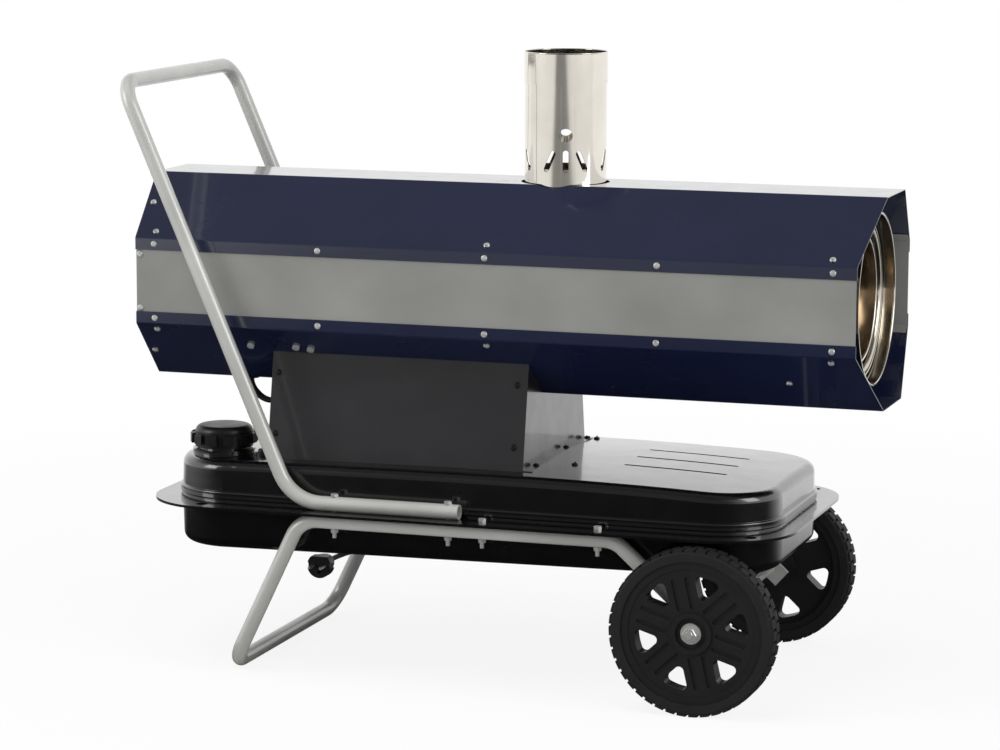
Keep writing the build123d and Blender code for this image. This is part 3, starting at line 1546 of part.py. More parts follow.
with BuildPart() as stand_tube:
    round_end = leg_plane(1, flat_half + tube_flat_taper).origin
    side_points = [
        (round_end.X, round_end.Z),
        (stand_front_x, stand_z),
        (stand_rear_x, stand_z),
        (stand_floor_x, tube_radius),
    ]
    near = [(x, -tube_y, z) for x, z in side_points]
    far = [(x, tube_y, z) for x, z in reversed(side_points)]
    bends = [stand_bend, stand_bend, stand_floor_bend, stand_floor_bend, stand_bend, stand_bend]
    add(bent_tube(near + far, bends))
    for side in (-1, 1):
        with BuildSketch(leg_plane(side, flat_half + tube_flat_taper)):
            Circle(tube_radius)
        with BuildSketch(leg_plane(side, flat_half)):
            RectangleRounded(tube_flat_sheet, tube_flat_width, tube_wall)
        loft()
        with BuildSketch(leg_plane(side, flat_half)):
            RectangleRounded(tube_flat_sheet, tube_flat_width, tube_wall)
        extrude(amount=tube_flat_length)
    with Locations(Plane(origin=(axle_x, 0, wheel_radius), x_dir=(1, 0, 0), z_dir=(0, 1, 0))):
        Cylinder(axle_radius, 4 * tube_y, mode=Mode.SUBTRACT)
    with Locations(*[(x, y, stand_z + tube_radius + 1) for x, y in bolt_spots]):
        Hole(radius=bolt_radius + slip, depth=2 * tube_radius + 2)
stand_tube.part.label = "stand_tube"
export_step(stand_tube.part, "parts/stand_tube.step")


def frame_bolt(top_z):
    """A hexagon bolt whose head sits at top_z and whose end is below the stand tube."""
    with BuildPart() as bolt:
        with Locations((0, 0, top_z)):
            add(hexagon_prism(bolt_head_flats, bolt_head_height))
        with BuildSketch(Plane.XY.offset(top_z)):
            Circle(bolt_radius)
        extrude(amount=stand_z - tube_radius - bolt_tail - top_z)
    return bolt.part


# Bolts through handle, flange and stand, and bolts through flange and stand
with BuildPart() as frame_bolts:
    with Locations(*handle_bolt_spots):
        add(frame_bolt(handle_z + tube_radius))
    with Locations(*stand_bolt_spots):
        add(frame_bolt(flange_top_z))
frame_bolts.part.label = "frame_bolts"
export_step(frame_bolts.part, "parts/frame_bolts.step")

with BuildPart() as frame_nuts:
    with Locations(*[(x, y, stand_z - tube_radius - nut_height) for x, y in bolt_spots]):
        add(hexagon_prism(bolt_head_flats, nut_height))
    with Locations(*[(x, y, stand_z - tube_radius) for x, y in bolt_spots]):
        Hole(radius=bolt_radius, depth=nut_height)
frame_nuts.part.label = "frame_nuts"
export_step(frame_nuts.part, "parts/frame_nuts.step")

# Axle, from nut to nut
hub_face_y = wheel_outer_y - hub_recess_depth
axle_nut_y = hub_face_y + slip + washer_height
axle_end_y = axle_nut_y + axle_nut_height + 2.0
axle_middle = Plane(origin=(axle_x, 0, wheel_radius), x_dir=(1, 0, 0), z_dir=(0, 1, 0))
with BuildPart() as axle:
    with BuildSketch(axle_middle):
        Circle(axle_radius)
    extrude(amount=axle_end_y, both=True)
    chamfer(axle.edges().filter_by(GeomType.CIRCLE), 0.8)
axle.part.label = "axle"
export_step(axle.part, "parts/axle.step")


def wheel_plane(side, depth):
    """A plane across the wheel, this far out from its inner face."""
    middle = (axle_x, side * (wheel_inner_y + depth), wheel_radius)
    return Plane(origin=middle, x_dir=(1, 0, 0), z_dir=(0, side, 0))


rim_inner = tyre_seat_radius - rim_wall
rim_width = wheel_width - 4.0
spoke_face = wheel_width - spoke_set_back
window_apex = spoke_half_width / math.sin(math.pi / window_count)
half_angle = math.pi / window_count
window_reach = rim_inner - 9.0
window_run = -window_apex * math.cos(half_angle) + math.sqrt(
    window_reach**2 - (window_apex * math.sin(half_angle)) ** 2
)
window_corner = (window_apex + window_run * math.cos(half_angle), window_run * math.sin(half_angle))
window_round = 7.0


def window_sketch():
    """One rounded three-cornered window between two spokes."""
    with BuildSketch() as window:
        with BuildLine():
            low = Line((window_apex, 0), (window_corner[0], -window_corner[1]))
            arc = ThreePointArc(low @ 1, (window_reach, 0), window_corner)
            Line(arc @ 1, low @ 0)
        make_face()
        fillet(window.vertices(), window_round)
    return window.sketch


def wheel_rim(side):
    """A six-spoked rim with a recessed hub and a groove pair on each spoke."""
    window = window_sketch()
    with BuildPart() as rim:
        with BuildSketch(wheel_plane(side, (wheel_width - rim_width) / 2)):
            Circle(tyre_seat_radius)
            Circle(rim_inner, mode=Mode.SUBTRACT)
        extrude(amount=rim_width)
        with BuildSketch(wheel_plane(side, spoke_face - spoke_thickness)):
            Circle(rim_inner + 1)
            for k in range(window_count):
                add(window, rotation=window_turn + k * 360 / window_count, mode=Mode.SUBTRACT)
        extrude(amount=spoke_thickness)
        with BuildSketch(wheel_plane(side, 0)):
            Circle(hub_radius)
        extrude(amount=wheel_width)
        with BuildSketch(wheel_plane(side, wheel_width - hub_recess_depth)):
            Circle(hub_recess_radius)
        extrude(amount=hub_recess_depth, mode=Mode.SUBTRACT)
        with BuildSketch(wheel_plane(side, spoke_face)):
            for k in range(window_count):
                turn = window_turn + (k + 0.5) * 360 / window_count
                for shift in (-1, 1):
                    with PolarLocations(0, 1, start_angle=turn):
                        with Locations((0.62 * rim_inner, shift * spoke_half_width * 0.45)):
                            SlotOverall(0.5 * rim_inner, 6)
        extrude(amount=-2, mode=Mode.SUBTRACT)
        with BuildSketch(wheel_plane(side, 0)):
            Circle(axle_radius + running)
        extrude(amount=wheel_width, mode=Mode.SUBTRACT)
    return rim.part


def wheel_tyre(side):
    """A tyre with two rows of tread blocks, set off from each other by half a block."""
    pitch = 360 / tread_blocks
    with BuildPart() as tyre:
        with BuildSketch(wheel_plane(side, 0)):
            Circle(wheel_radius - tread_height)
        extrude(amount=wheel_width)
        fillet(tyre.edges().filter_by(GeomType.CIRCLE), 3)
        for row in range(2):
            first = 1.5 + row * (wheel_width / 2 - 0.5)
            with BuildSketch(wheel_plane(side, first)):
                Circle(wheel_radius)
                Circle(wheel_radius - tread_height - 4, mode=Mode.SUBTRACT)
                with PolarLocations(wheel_radius, tread_blocks, start_angle=(row + 0.5) * pitch / 2):
                    Rectangle(2 * tread_height, tread_gap, mode=Mode.SUBTRACT)
            extrude(amount=wheel_width / 2 - 2.5)
        with BuildSketch(wheel_plane(side, 0)):
            Circle(tyre_seat_radius)
        extrude(amount=wheel_width, mode=Mode.SUBTRACT)
    return tyre.part


for side, name in ((-1, "near"), (1, "far")):
    with BuildPart() as rim_piece:
        add(wheel_rim(side))
    rim_piece.part.label = f"wheel_rim_{name}"
    export_step(rim_piece.part, f"parts/wheel_rim_{name}.step")
    with BuildPart() as tyre_piece:
        add(wheel_tyre(side))
    tyre_piece.part.label = f"wheel_tyre_{name}"
    export_step(tyre_piece.part, f"parts/wheel_tyre_{name}.step")

# Tube spacers inside the wheels and washers outside them
spacer_start_y = tube_y + tube_flat_sheet / 2 + slip
with BuildPart() as wheel_spacers:
    for side in (-1, 1):
        with BuildSketch(wheel_plane(side, spacer_start_y - wheel_inner_y)):
            Circle(spacer_radius)
            Circle(axle_radius + running, mode=Mode.SUBTRACT)
        extrude(amount=wheel_inner_y - slip - spacer_start_y)
        with BuildSketch(wheel_plane(side, hub_face_y + slip - wheel_inner_y)):
            Circle(washer_radius)
            Circle(axle_radius + running, mode=Mode.SUBTRACT)
        extrude(amount=washer_height)
wheel_spacers.part.label = "wheel_spacers"
export_step(wheel_spacers.part, "parts/wheel_spacers.step")

# Nuts that keep the wheels on the axle
with BuildPart() as axle_nuts:
    for side in (-1, 1):
        with Locations(wheel_plane(side, axle_nut_y - wheel_inner_y)):
            add(hexagon_prism(axle_nut_flats, axle_nut_height))
    with Locations(axle_middle):
        Cylinder(axle_radius, 3 * axle_end_y, mode=Mode.SUBTRACT)
axle_nuts.part.label = "axle_nuts"
export_step(axle_nuts.part, "parts/axle_nuts.step")

# Mains lead from the gland, down behind the tank and in under it to the plug
plug_x = -348.0
plug_z = 106.0
plug_back_y = 105.0
plug_run = 36.0
gland_face = gland_spot.offset(gland_end).origin
gland_out = gland_spot.offset(gland_end + 46).origin
lead_side_y = flange_half_width + 24.0
lead_points = [
    tuple(gland_face),
    tuple(gland_out),
    (-254.0, lead_side_y - 2.0, 329.0),
    (-262.0, lead_side_y, 262.0),
    (-270.0, lead_side_y - 1.0, 190.0),
    (-282.0, lead_side_y - 30.0, 132.0),
    (-314.0, tube_y - 27.0, 115.0),
    (plug_x, plug_back_y + plug_run, plug_z),
    (plug_x, plug_back_y, plug_z),
]
lead_radii = easy_bends(lead_points)
with BuildPart() as mains_cord:
    add(sleeve(lead_points, lead_radii, lead_radius))
mains_cord.part.label = "mains_cord"
export_step(mains_cord.part, "parts/mains_cord.step")
lead_runs = [(Vector(*b) - Vector(*a)).length for a, b in zip(lead_points, lead_points[1:])]
print("mains lead radii", [round(r, 1) for r in lead_radii])
print("mains lead runs", [round(r, 1) for r in lead_runs])
print("mains lead length by volume", round(mains_cord.part.volume / (math.pi * lead_radius**2), 1))

# Plug: round face with one flat, waisted grip and a boot for the lead
plug_face_y = plug_back_y - plug_length
plug_flat = 14.5
plug_head_length = 17.0
plug_plane = Plane(origin=(plug_x, plug_back_y, plug_z), x_dir=(1, 0, 0), z_dir=(0, -1, 0))
with BuildPart() as plug_body:
    with BuildSketch(plug_plane):
        Circle(lead_radius + 1.5)
    with BuildSketch(plug_plane.offset(12)):
        Circle(9)
    loft()
    with BuildSketch(plug_plane.offset(12)):
        Circle(13)
    with BuildSketch(plug_plane.offset(plug_length - plug_head_length)):
        Circle(plug_radius - 3)
    loft()
    with BuildSketch(plug_plane.offset(plug_length - plug_head_length)):
        Circle(plug_radius)
    extrude(amount=plug_head_length)
    with BuildSketch(plug_plane):
        with Locations((0, plug_flat)):
            Rectangle(60, 20, align=(Align.CENTER, Align.MIN))
    extrude(amount=plug_length, mode=Mode.SUBTRACT)
    with BuildSketch(plug_plane.offset(plug_length)):
        with Locations((0, -10)):
            Circle(2.6)
        with Locations((-plug_pin_spread, 0), (plug_pin_spread, 0)):
            Circle(plug_pin_radius)
    extrude(amount=-12, mode=Mode.SUBTRACT)
    for clip_x in (-plug_radius, plug_radius):
        with BuildSketch(plug_plane.offset(plug_length)):
            with Locations((clip_x, 0)):
                Rectangle(4, 9)
        extrude(amount=-plug_head_length, mode=Mode.SUBTRACT)
plug_body.part.label = "plug_body"
export_step(plug_body.part, "parts/plug_body.step")

with BuildPart() as plug_pins:
    with BuildSketch(plug_plane.offset(plug_length - 12)):
        with Locations((-plug_pin_spread, 0), (plug_pin_spread, 0)):
            Circle(plug_pin_radius)
    extrude(amount=12 + plug_pin_length)
    fillet(plug_pins.faces().sort_by(Axis.Y)[0].edges(), 1.5)
plug_pins.part.label = "plug_pins"
export_step(plug_pins.part, "parts/plug_pins.step")

# Clip on the stand's far leg that holds the lead and steadies the plug
clip_width = 5.0
clip_wall = 2.2
clip_run = Vector(*lead_points[6]) - Vector(*lead_points[5])
clip_spot = Vector(*lead_points[5]) + clip_run * 0.5
rear_leg = Vector(stand_floor_x - stand_rear_x, 0, tube_radius - stand_z).normalized()
leg_foot = Vector(stand_rear_x, tube_y, stand_z)
leg_spot = leg_foot + rear_leg * (clip_spot - leg_foot).dot(rear_leg)
leg_cross = Plane(origin=leg_spot, z_dir=rear_leg)
lead_cross = Plane(origin=clip_spot, z_dir=clip_run)
web_way = clip_spot - leg_spot
web_plane = Plane(origin=leg_spot, x_dir=rear_leg, z_dir=web_way)
with BuildPart() as cord_clip:
    with Locations(leg_cross):
        Cylinder(tube_radius + clip_wall, clip_width)
    with Locations(lead_cross):
        Cylinder(lead_radius + clip_wall, clip_width)
    with BuildSketch(web_plane):
        Rectangle(clip_width * 0.7, clip_wall)
    extrude(amount=web_way.length)
    with Locations(leg_cross):
        Cylinder(tube_radius, 3 * clip_width, mode=Mode.SUBTRACT)
    with Locations(lead_cross):
        Cylinder(lead_radius + running, 3 * clip_width, mode=Mode.SUBTRACT)
cord_clip.part.label = "cord_clip"
export_step(cord_clip.part, "parts/cord_clip.step")
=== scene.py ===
import math

import bmesh
import bpy
import numpy as np
from mathutils import Matrix, Vector


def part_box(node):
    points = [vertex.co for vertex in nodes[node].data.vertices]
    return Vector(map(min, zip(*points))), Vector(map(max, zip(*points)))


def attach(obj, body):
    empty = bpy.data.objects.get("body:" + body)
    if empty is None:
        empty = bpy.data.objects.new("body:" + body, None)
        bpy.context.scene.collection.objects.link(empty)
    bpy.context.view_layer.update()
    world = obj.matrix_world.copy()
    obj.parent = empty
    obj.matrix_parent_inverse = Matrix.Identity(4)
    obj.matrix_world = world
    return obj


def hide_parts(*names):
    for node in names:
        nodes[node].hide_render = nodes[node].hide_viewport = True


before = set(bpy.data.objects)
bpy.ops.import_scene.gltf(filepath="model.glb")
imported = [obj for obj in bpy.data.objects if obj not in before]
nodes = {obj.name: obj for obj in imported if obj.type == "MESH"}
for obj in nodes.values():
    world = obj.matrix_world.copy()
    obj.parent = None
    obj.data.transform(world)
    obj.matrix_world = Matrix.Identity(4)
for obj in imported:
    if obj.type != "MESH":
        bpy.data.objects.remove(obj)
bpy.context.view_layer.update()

# Materials. Colours given as 0-1 numbers are linear, noise scales are per metre.

# Where most of a noise texture's values lie
noise_range = (0.3, 0.7)
bump_depth = 0.0004

# The Mix node's colour sockets, which share their names with its number sockets
mix_color_a, mix_color_b, mix_color_result = 6, 7, 2


def srgb(r, g, b):
    """Linear colour from 0-255 display values."""
    def linear(v):
        v = v / 255
        return v / 12.92 if v <= 0.04045 else ((v + 0.055) / 1.055) ** 2.4
    return (linear(r), linear(g), linear(b), 1.0)


def scaled(color, k):
    """A colour made darker or lighter by a factor."""
    return tuple(min(1.0, c * k) for c in color[:3]) + (1.0,)


class Shader:
    """A Principled material whose colour, roughness and bump come from object-space noise."""

    def __init__(self, name):
        self.mat = bpy.data.materials.new(name)
        self.mat.use_nodes = True
        self.tree = self.mat.node_tree
        self.n = self.tree.nodes
        self.bsdf = self.n["Principled BSDF"]
        self.coord = self.n.new("ShaderNodeTexCoord")

    def link(self, a, b):
        self.tree.links.new(a, b)

    def mapped(self, scale):
        """Object coordinates, scaled along each axis."""
        m = self.n.new("ShaderNodeMapping")
        m.inputs["Scale"].default_value = scale
        self.link(self.coord.outputs["Object"], m.inputs["Vector"])
        return m.outputs["Vector"]

    def noise(self, scale, detail=3.0, stretch=(1, 1, 1)):
        t = self.n.new("ShaderNodeTexNoise")
        t.inputs["Scale"].default_value = scale
        t.inputs["Detail"].default_value = detail
        self.link(self.mapped(stretch), t.inputs["Vector"])
        return t.outputs["Fac"]

    def ramp(self, fac, low_color, high_color):
        """Blend of two colours over the usual range of a noise."""
        r = self.n.new("ShaderNodeValToRGB")
        for element, place, color in zip(r.color_ramp.elements, noise_range, (low_color, high_color)):
            element.position = place
            element.color = color
        self.link(fac, r.inputs["Fac"])
        return r.outputs["Color"]

    def span(self, fac, target, source=noise_range):
        """A number moved from the source range to the target range."""
        m = self.n.new("ShaderNodeMapRange")
        m.inputs["From Min"].default_value, m.inputs["From Max"].default_value = source
        m.inputs["To Min"].default_value, m.inputs["To Max"].default_value = target
        self.link(fac, m.inputs["Value"])
        return m.outputs["Result"]

    def mix(self, fac, a, b):
        """Colour a where fac is 0 and b where it is 1, each a plain colour or a socket."""
        m = self.n.new("ShaderNodeMix")
        m.data_type = "RGBA"
        self.link(fac, m.inputs["Factor"])
        for value, socket in ((a, m.inputs[mix_color_a]), (b, m.inputs[mix_color_b])):
            if isinstance(value, tuple):
                socket.default_value = value
            else:
                self.link(value, socket)
        return m.outputs[mix_color_result]

    def bump(self, height, strength):
        b = self.n.new("ShaderNodeBump")
        b.inputs["Strength"].default_value = strength
        b.inputs["Distance"].default_value = bump_depth
        self.link(height, b.inputs["Height"])
        self.link(b.outputs["Normal"], self.bsdf.inputs["Normal"])

    def color(self, socket):
        self.link(socket, self.bsdf.inputs["Base Color"])

    def rough(self, socket):
        self.link(socket, self.bsdf.inputs["Roughness"])

    def set(self, **values):
        """Plain values on the shader's own sockets, with _ for the spaces in their names."""
        for key, value in values.items():
            self.bsdf.inputs[key.replace("_", " ")].default_value = value


def paint(name, color, rough, grain, bump, spec=0.5, metallic=0.0, coat=0.0, coat_ior=1.5, dust=None):
    """Paint or plastic: cloudy colour, fine grain, and pale specks where dust is given."""
    s = Shader(name)
    cloud = s.noise(scale=7.0, detail=4.0)
    base = s.ramp(cloud, scaled(color, 0.9), scaled(color, 1.12))
    if dust:
        specks = s.span(s.noise(scale=55.0, detail=6.0), (0.0, dust), source=(0.6, 0.78))
        base = s.mix(specks, base, scaled(color, 2.2))
    s.color(base)
    s.rough(s.span(s.noise(scale=22.0, detail=4.0), rough))
    s.bump(s.noise(grain, detail=2.0), bump)
    s.set(Metallic=metallic, Specular_IOR_Level=spec)
    s.set(Coat_Weight=coat, Coat_Roughness=0.08, Coat_IOR=coat_ior)
    return s.mat


def metal(name, color, rough, stretch=(1, 1, 1), grain=260.0, bump=0.05, tint=None, metallic=1.0):
    """Bare metal: a stretched grain in roughness and bump, and patches of tint where it is given."""
    s = Shader(name)
    cloud = s.noise(scale=9.0, detail=4.0)
    base = s.ramp(cloud, scaled(color, 0.88), scaled(color, 1.08))
    if tint:
        patches = s.span(s.noise(scale=5.0), (0.0, 0.7), source=(0.4, 0.7))
        base = s.mix(patches, base, tint)
    s.color(base)
    fine = s.noise(grain, stretch=stretch)
    s.rough(s.span(fine, rough))
    s.bump(fine, bump)
    s.set(Metallic=metallic)
    return s.mat


def plastic(name, color, rough=(0.35, 0.5), grain=1200.0, bump=0.12, spec=0.5):
    """Moulded plastic or rubber, with a little dust."""
    return paint(name, color, rough, grain, bump, spec, dust=0.25)


blue = paint("navy_powder_coat", srgb(22, 29, 58), rough=(0.2, 0.28), grain=1400.0, bump=0.02,
             coat=1.0, coat_ior=1.8)
grey = paint("grey_powder_coat", srgb(140, 141, 137), rough=(0.42, 0.52), grain=1500.0, bump=0.08,
             spec=0.4)
tank_black = paint("tank_gloss_black", srgb(8, 8, 8), rough=(0.2, 0.28), grain=1000.0, bump=0.03,
                   coat=1.0, coat_ior=1.6)
box_black = paint("box_satin_black", srgb(38, 38, 41), rough=(0.3, 0.4), grain=1800.0, bump=0.05,
                  coat=0.8)
frame_grey = paint("frame_silver_paint", srgb(194, 194, 190), rough=(0.28, 0.4), grain=1200.0,
                   bump=0.04, metallic=0.2, coat=0.4)
bright = metal("bright_zinc", (0.72, 0.72, 0.70, 1), rough=(0.28, 0.33), grain=120.0, bump=0.004,
               metallic=0.6)
sheet_zinc = metal("galvanised_sheet", (0.58, 0.59, 0.6, 1), rough=(0.3, 0.48), grain=90.0, bump=0.02,
                   metallic=0.7)
flue_steel = metal("polished_flue_steel", (0.86, 0.82, 0.74, 1), rough=(0.07, 0.12),
                   stretch=(8, 8, 0.6), grain=9.0, bump=0.012)
duct_steel = metal("brushed_duct_steel", (0.66, 0.6, 0.5, 1), rough=(0.12, 0.2),
                   stretch=(1, 3, 3), grain=12.0, bump=0.01)
chamber_steel = metal("tinted_chamber_steel", (0.55, 0.46, 0.35, 1), rough=(0.14, 0.24),
                      stretch=(1, 3, 3), grain=12.0, bump=0.012, tint=(0.32, 0.22, 0.14, 1))
aluminium = metal("cast_aluminium", (0.7, 0.7, 0.7, 1), rough=(0.35, 0.5), grain=300.0, bump=0.15)
cast = metal("die_cast", (0.35, 0.35, 0.36, 1), rough=(0.45, 0.6), grain=500.0, bump=0.25)
brass = metal("machined_brass", (0.72, 0.53, 0.25, 1), rough=(0.22, 0.32))
copper = metal("copper_pipe", (0.75, 0.42, 0.28, 1), rough=(0.22, 0.35))
motor_paint = paint("motor_enamel", srgb(88, 92, 96), rough=(0.35, 0.5), grain=700.0, bump=0.15)
wire_black = paint("black_wire_coat", srgb(28, 28, 28), rough=(0.35, 0.5), grain=700.0, bump=0.1)
black_plastic = plastic("black_moulding", srgb(26, 26, 26))
cap_plastic = plastic("cap_moulding", srgb(22, 22, 22), rough=(0.3, 0.42), grain=1500.0, bump=0.1)
wheel_plastic = plastic("wheel_moulding", srgb(30, 30, 31), rough=(0.38, 0.5), grain=1400.0)
rubber = plastic("black_rubber", srgb(24, 24, 24), rough=(0.5, 0.65), grain=900.0, bump=0.2,
                 spec=0.35)
tyre_rubber = plastic("tyre_rubber", srgb(34, 34, 34), rough=(0.6, 0.78), grain=500.0, bump=0.35,
                      spec=0.3)
ceramic = plastic("glazed_ceramic", srgb(225, 220, 205), rough=(0.12, 0.2), grain=300.0, bump=0.03)
pale_plastic = plastic("pale_moulding", srgb(205, 203, 194))
blue_plastic = plastic("control_unit_moulding", srgb(50, 80, 140))
red_plastic = plastic("rocker_red", srgb(190, 30, 22), rough=(0.2, 0.3))
amber_plastic = plastic("lamp_amber", srgb(225, 140, 30), rough=(0.12, 0.2))
green_plastic = plastic("reset_green", srgb(30, 130, 60), rough=(0.22, 0.3))
# Dark colour for the screws' cross recesses: painted shade, not a colour of the screws
recess_shade_metal = metal("painted_recess_shade", (0.12, 0.12, 0.12, 1), rough=(0.5, 0.6))
rim_steel = metal("rolled_rim_steel", (0.85, 0.82, 0.75, 1), rough=(0.08, 0.14), grain=200.0, bump=0.01)
white_mark = plastic("dial_print", srgb(225, 225, 225), rough=(0.5, 0.6), grain=900.0, bump=0.02)


def screw_zinc():
    """Zinc screws in the casing, black ones in the control box and tank below it."""
    s = Shader("zinc_and_black_screws")
    place = s.n.new("ShaderNodeSeparateXYZ")
    s.link(s.coord.outputs["Object"], place.inputs["Vector"])
    in_casing = s.span(place.outputs["Z"], (0.0, 1.0), source=(0.456, 0.458))
    zinc = s.ramp(s.noise(scale=60.0), (0.62, 0.62, 0.61, 1), (0.78, 0.78, 0.76, 1))
    s.color(s.mix(in_casing, (0.02, 0.02, 0.02, 1), zinc))
    s.rough(s.span(s.noise(scale=300.0), (0.25, 0.38)))
    s.set(Metallic=0.55)
    return s.mat


finish = {
    # Casing and air path
    "casing_top": blue, "casing_bottom": blue, "bulkheads": blue,
    "side_panel_near": grey, "side_panel_far": grey,
    "air_duct": duct_steel, "heat_exchanger": duct_steel, "combustion_chamber": chamber_steel,
    "burner_tube": duct_steel, "flue_pipe": flue_steel, "rear_guard": wire_black,
    # Fan and burner
    "fan_motor": motor_paint, "motor_bracket": sheet_zinc, "motor_shaft": bright,
    "fan_blades": aluminium, "fuel_pump": cast, "oil_nozzle": brass, "ignition_electrodes": ceramic,
    "flame_sensor": black_plastic, "suction_pipe": copper,
    # Tank
    "tank_upper": tank_black, "tank_lower": tank_black, "filler_neck": tank_black,
    "filler_strainer": pale_plastic, "filler_cap": cap_plastic, "cap_gasket": rubber,
    "tank_vent": black_plastic, "drain_plug": bright,
    # Control box
    "box_cover": box_black, "control_panel": box_black, "box_ends": box_black,
    "ignition_transformer": black_plastic, "control_unit": blue_plastic,
    "switch_housings": black_plastic, "rocker_switch": red_plastic, "signal_lamp": amber_plastic,
    "thermostat": black_plastic, "thermostat_knob": black_plastic, "reset_button": green_plastic,
    "cable_gland": black_plastic, "burner_leads": rubber, "grommets": rubber,
    # Frame and wheels
    "handle_tube": frame_grey, "stand_tube": frame_grey, "frame_bolts": bright, "frame_nuts": bright,
    "axle": bright, "axle_nuts": bright, "wheel_spacers": bright,
    "wheel_rim_near": wheel_plastic, "wheel_rim_far": wheel_plastic,
    "wheel_tyre_near": tyre_rubber, "wheel_tyre_far": tyre_rubber,
    # Mains lead and screws
    "mains_cord": rubber, "plug_body": black_plastic, "plug_pins": bright, "cord_clip": black_plastic,
    "pan_screws": screw_zinc(), "casing_bolts": bright,
}
for name, material in finish.items():
    mesh = nodes[name].data
    mesh.materials.clear()
    mesh.materials.append(material)

# Width of the eased edges that catch the light, by node
bevels = {
    "casing_top": 0.0004, "casing_bottom": 0.0004, "side_panel_near": 0.0004, "side_panel_far": 0.0004,
    "filler_cap": 0.0012, "wheel_rim_near": 0.0012, "wheel_rim_far": 0.0012, "plug_body": 0.0008,
    "box_cover": 0.0004, "control_panel": 0.0004, "thermostat_knob": 0.0006, "rocker_switch": 0.0005,
    "axle_nuts": 0.0004, "wheel_tyre_near": 0.0008, "wheel_tyre_far": 0.0008, "flue_pipe": 0.0003,
}
for name, width in bevels.items():
    bevel = nodes[name].modifiers.new("eased_edges", "BEVEL")
    bevel.width = width
    bevel.segments = 2
    bevel.limit_method = "ANGLE"
    bevel.angle_limit = math.radians(40)
    bevel.harden_normals = False

# Builders of pieces, with sizes in metres


def add(name, data):
    """A new object of this data, in the scene."""
    obj = bpy.data.objects.new(name, data)
    bpy.context.scene.collection.objects.link(obj)
    return obj


def piece(name, bm, material, smooth=True):
    """A mesh object from a bmesh, riding on the chassis."""
    mesh = bpy.data.meshes.new(name)
    bm.to_mesh(mesh)
    bm.free()
    for p in mesh.polygons:
        p.use_smooth = smooth
    mesh.materials.append(material)
    obj = add(name, mesh)
    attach(obj, "chassis")
    return obj


def nurbs(name, points, radius, material):
    """A smooth round tube along control points, riding on the chassis."""
    curve = bpy.data.curves.new(name, "CURVE")
    curve.dimensions = "3D"
    spline = curve.splines.new("NURBS")
    spline.points.add(len(points) - 1)
    for p, co in zip(spline.points, points):
        p.co = (*co, 1.0)
    spline.order_u = 3
    spline.use_endpoint_u = True
    spline.resolution_u = 16
    curve.bevel_depth = radius
    curve.bevel_resolution = 6
    curve.use_fill_caps = True
    curve.materials.append(material)
    obj = add(name, curve)
    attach(obj, "chassis")
    return obj


def ring_bead(name, middle, axis, radius, bead, material):
    """A round bead of this section radius, on a circle about an axis."""
    around, steps = 160, 12
    bm = bmesh.new()
    tilt = Vector(axis).to_track_quat("Z", "Y")
    rows = []
    for i in range(around):
        a = 2 * math.pi * i / around
        row = []
        for k in range(steps):
            b = 2 * math.pi * k / steps
            r = radius + bead * math.cos(b)
            point = Vector((r * math.cos(a), r * math.sin(a), bead * math.sin(b)))
            row.append(bm.verts.new(Vector(middle) + tilt @ point))
        rows.append(row)
    for i in range(around):
        row, next_row = rows[i], rows[(i + 1) % around]
        for k in range(steps):
            j = (k + 1) % steps
            bm.faces.new((row[k], next_row[k], next_row[j], row[j]))
    bmesh.ops.recalc_face_normals(bm, faces=bm.faces)
    return piece(name, bm, material)


# Rolled rims and pressed beads of the round shells in the mouth
duct_z = 0.570
along_duct = (1, 0, 0)
bead_circle = 0.1226
for name, node, bead in (("duct_rim", "air_duct", 0.0016),
                         ("exchanger_rim", "heat_exchanger", 0.0022),
                         ("chamber_rim", "combustion_chamber", 0.0022)):
    low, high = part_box(node)
    radius = (high[1] - low[1]) / 2
    rim = ring_bead(name, (high[0] - bead, 0, duct_z), along_duct, radius - bead, bead, rim_steel)
for k, x in enumerate((0.517, 0.493, 0.462)):
    duct_bead = ring_bead(f"duct_bead_{k}", (x, 0, duct_z), along_duct, bead_circle, 0.0013, duct_steel)

# Rolled rim and lap seam of the flue
flue_x, flue_top, flue_radius = 0.066, 0.914, 0.0612
flue_bead = 0.0009
flue_rim = ring_bead("flue_rim", (flue_x, 0, flue_top - flue_bead), (0, 0, 1), flue_radius - 0.0005,
                     flue_bead, rim_steel)
seam_bearing = math.radians(-80.0)
seam_radius = 0.060
seam_bottom, seam_top = 0.722, 0.868
# The seam's section: turn from its middle in radians, and height over seam_radius
seam_section = ((-0.012, -0.0002), (-0.009, 0.0005), (0.009, 0.0005), (0.012, -0.0002))
seam = bmesh.new()
seam_rows = []
for z in (seam_bottom, seam_top):
    row = []
    for turn, proud in seam_section:
        a = seam_bearing + turn
        r = seam_radius + proud
        row.append(seam.verts.new((flue_x + r * math.cos(a), r * math.sin(a), z)))
    seam_rows.append(row)
low_row, high_row = seam_rows
for k in range(3):
    seam.faces.new((low_row[k], low_row[k + 1], high_row[k + 1], high_row[k]))
seam.faces.new(low_row)
seam.faces.new(high_row[::-1])
seam.faces.new((low_row[3], low_row[0], high_row[0], high_row[3]))
bmesh.ops.recalc_face_normals(seam, faces=seam.faces)
piece("flue_seam", seam, flue_steel, smooth=False)

# The control panel: a flat sheet that leans back from its foot
panel_foot_y, panel_foot_z = 0.154, 0.313
panel_slope = 27.0 / 155.67
panel_out = Vector((0.0, 1.0, panel_slope)).normalized()
panel_across = Vector((1.0, 0.0, 0.0))
panel_up = panel_across.cross(panel_out)


def on_panel(x, z):
    """The point of the panel's face at this x and height."""
    return Vector((x, panel_foot_y - (z - panel_foot_z) * panel_slope, z))


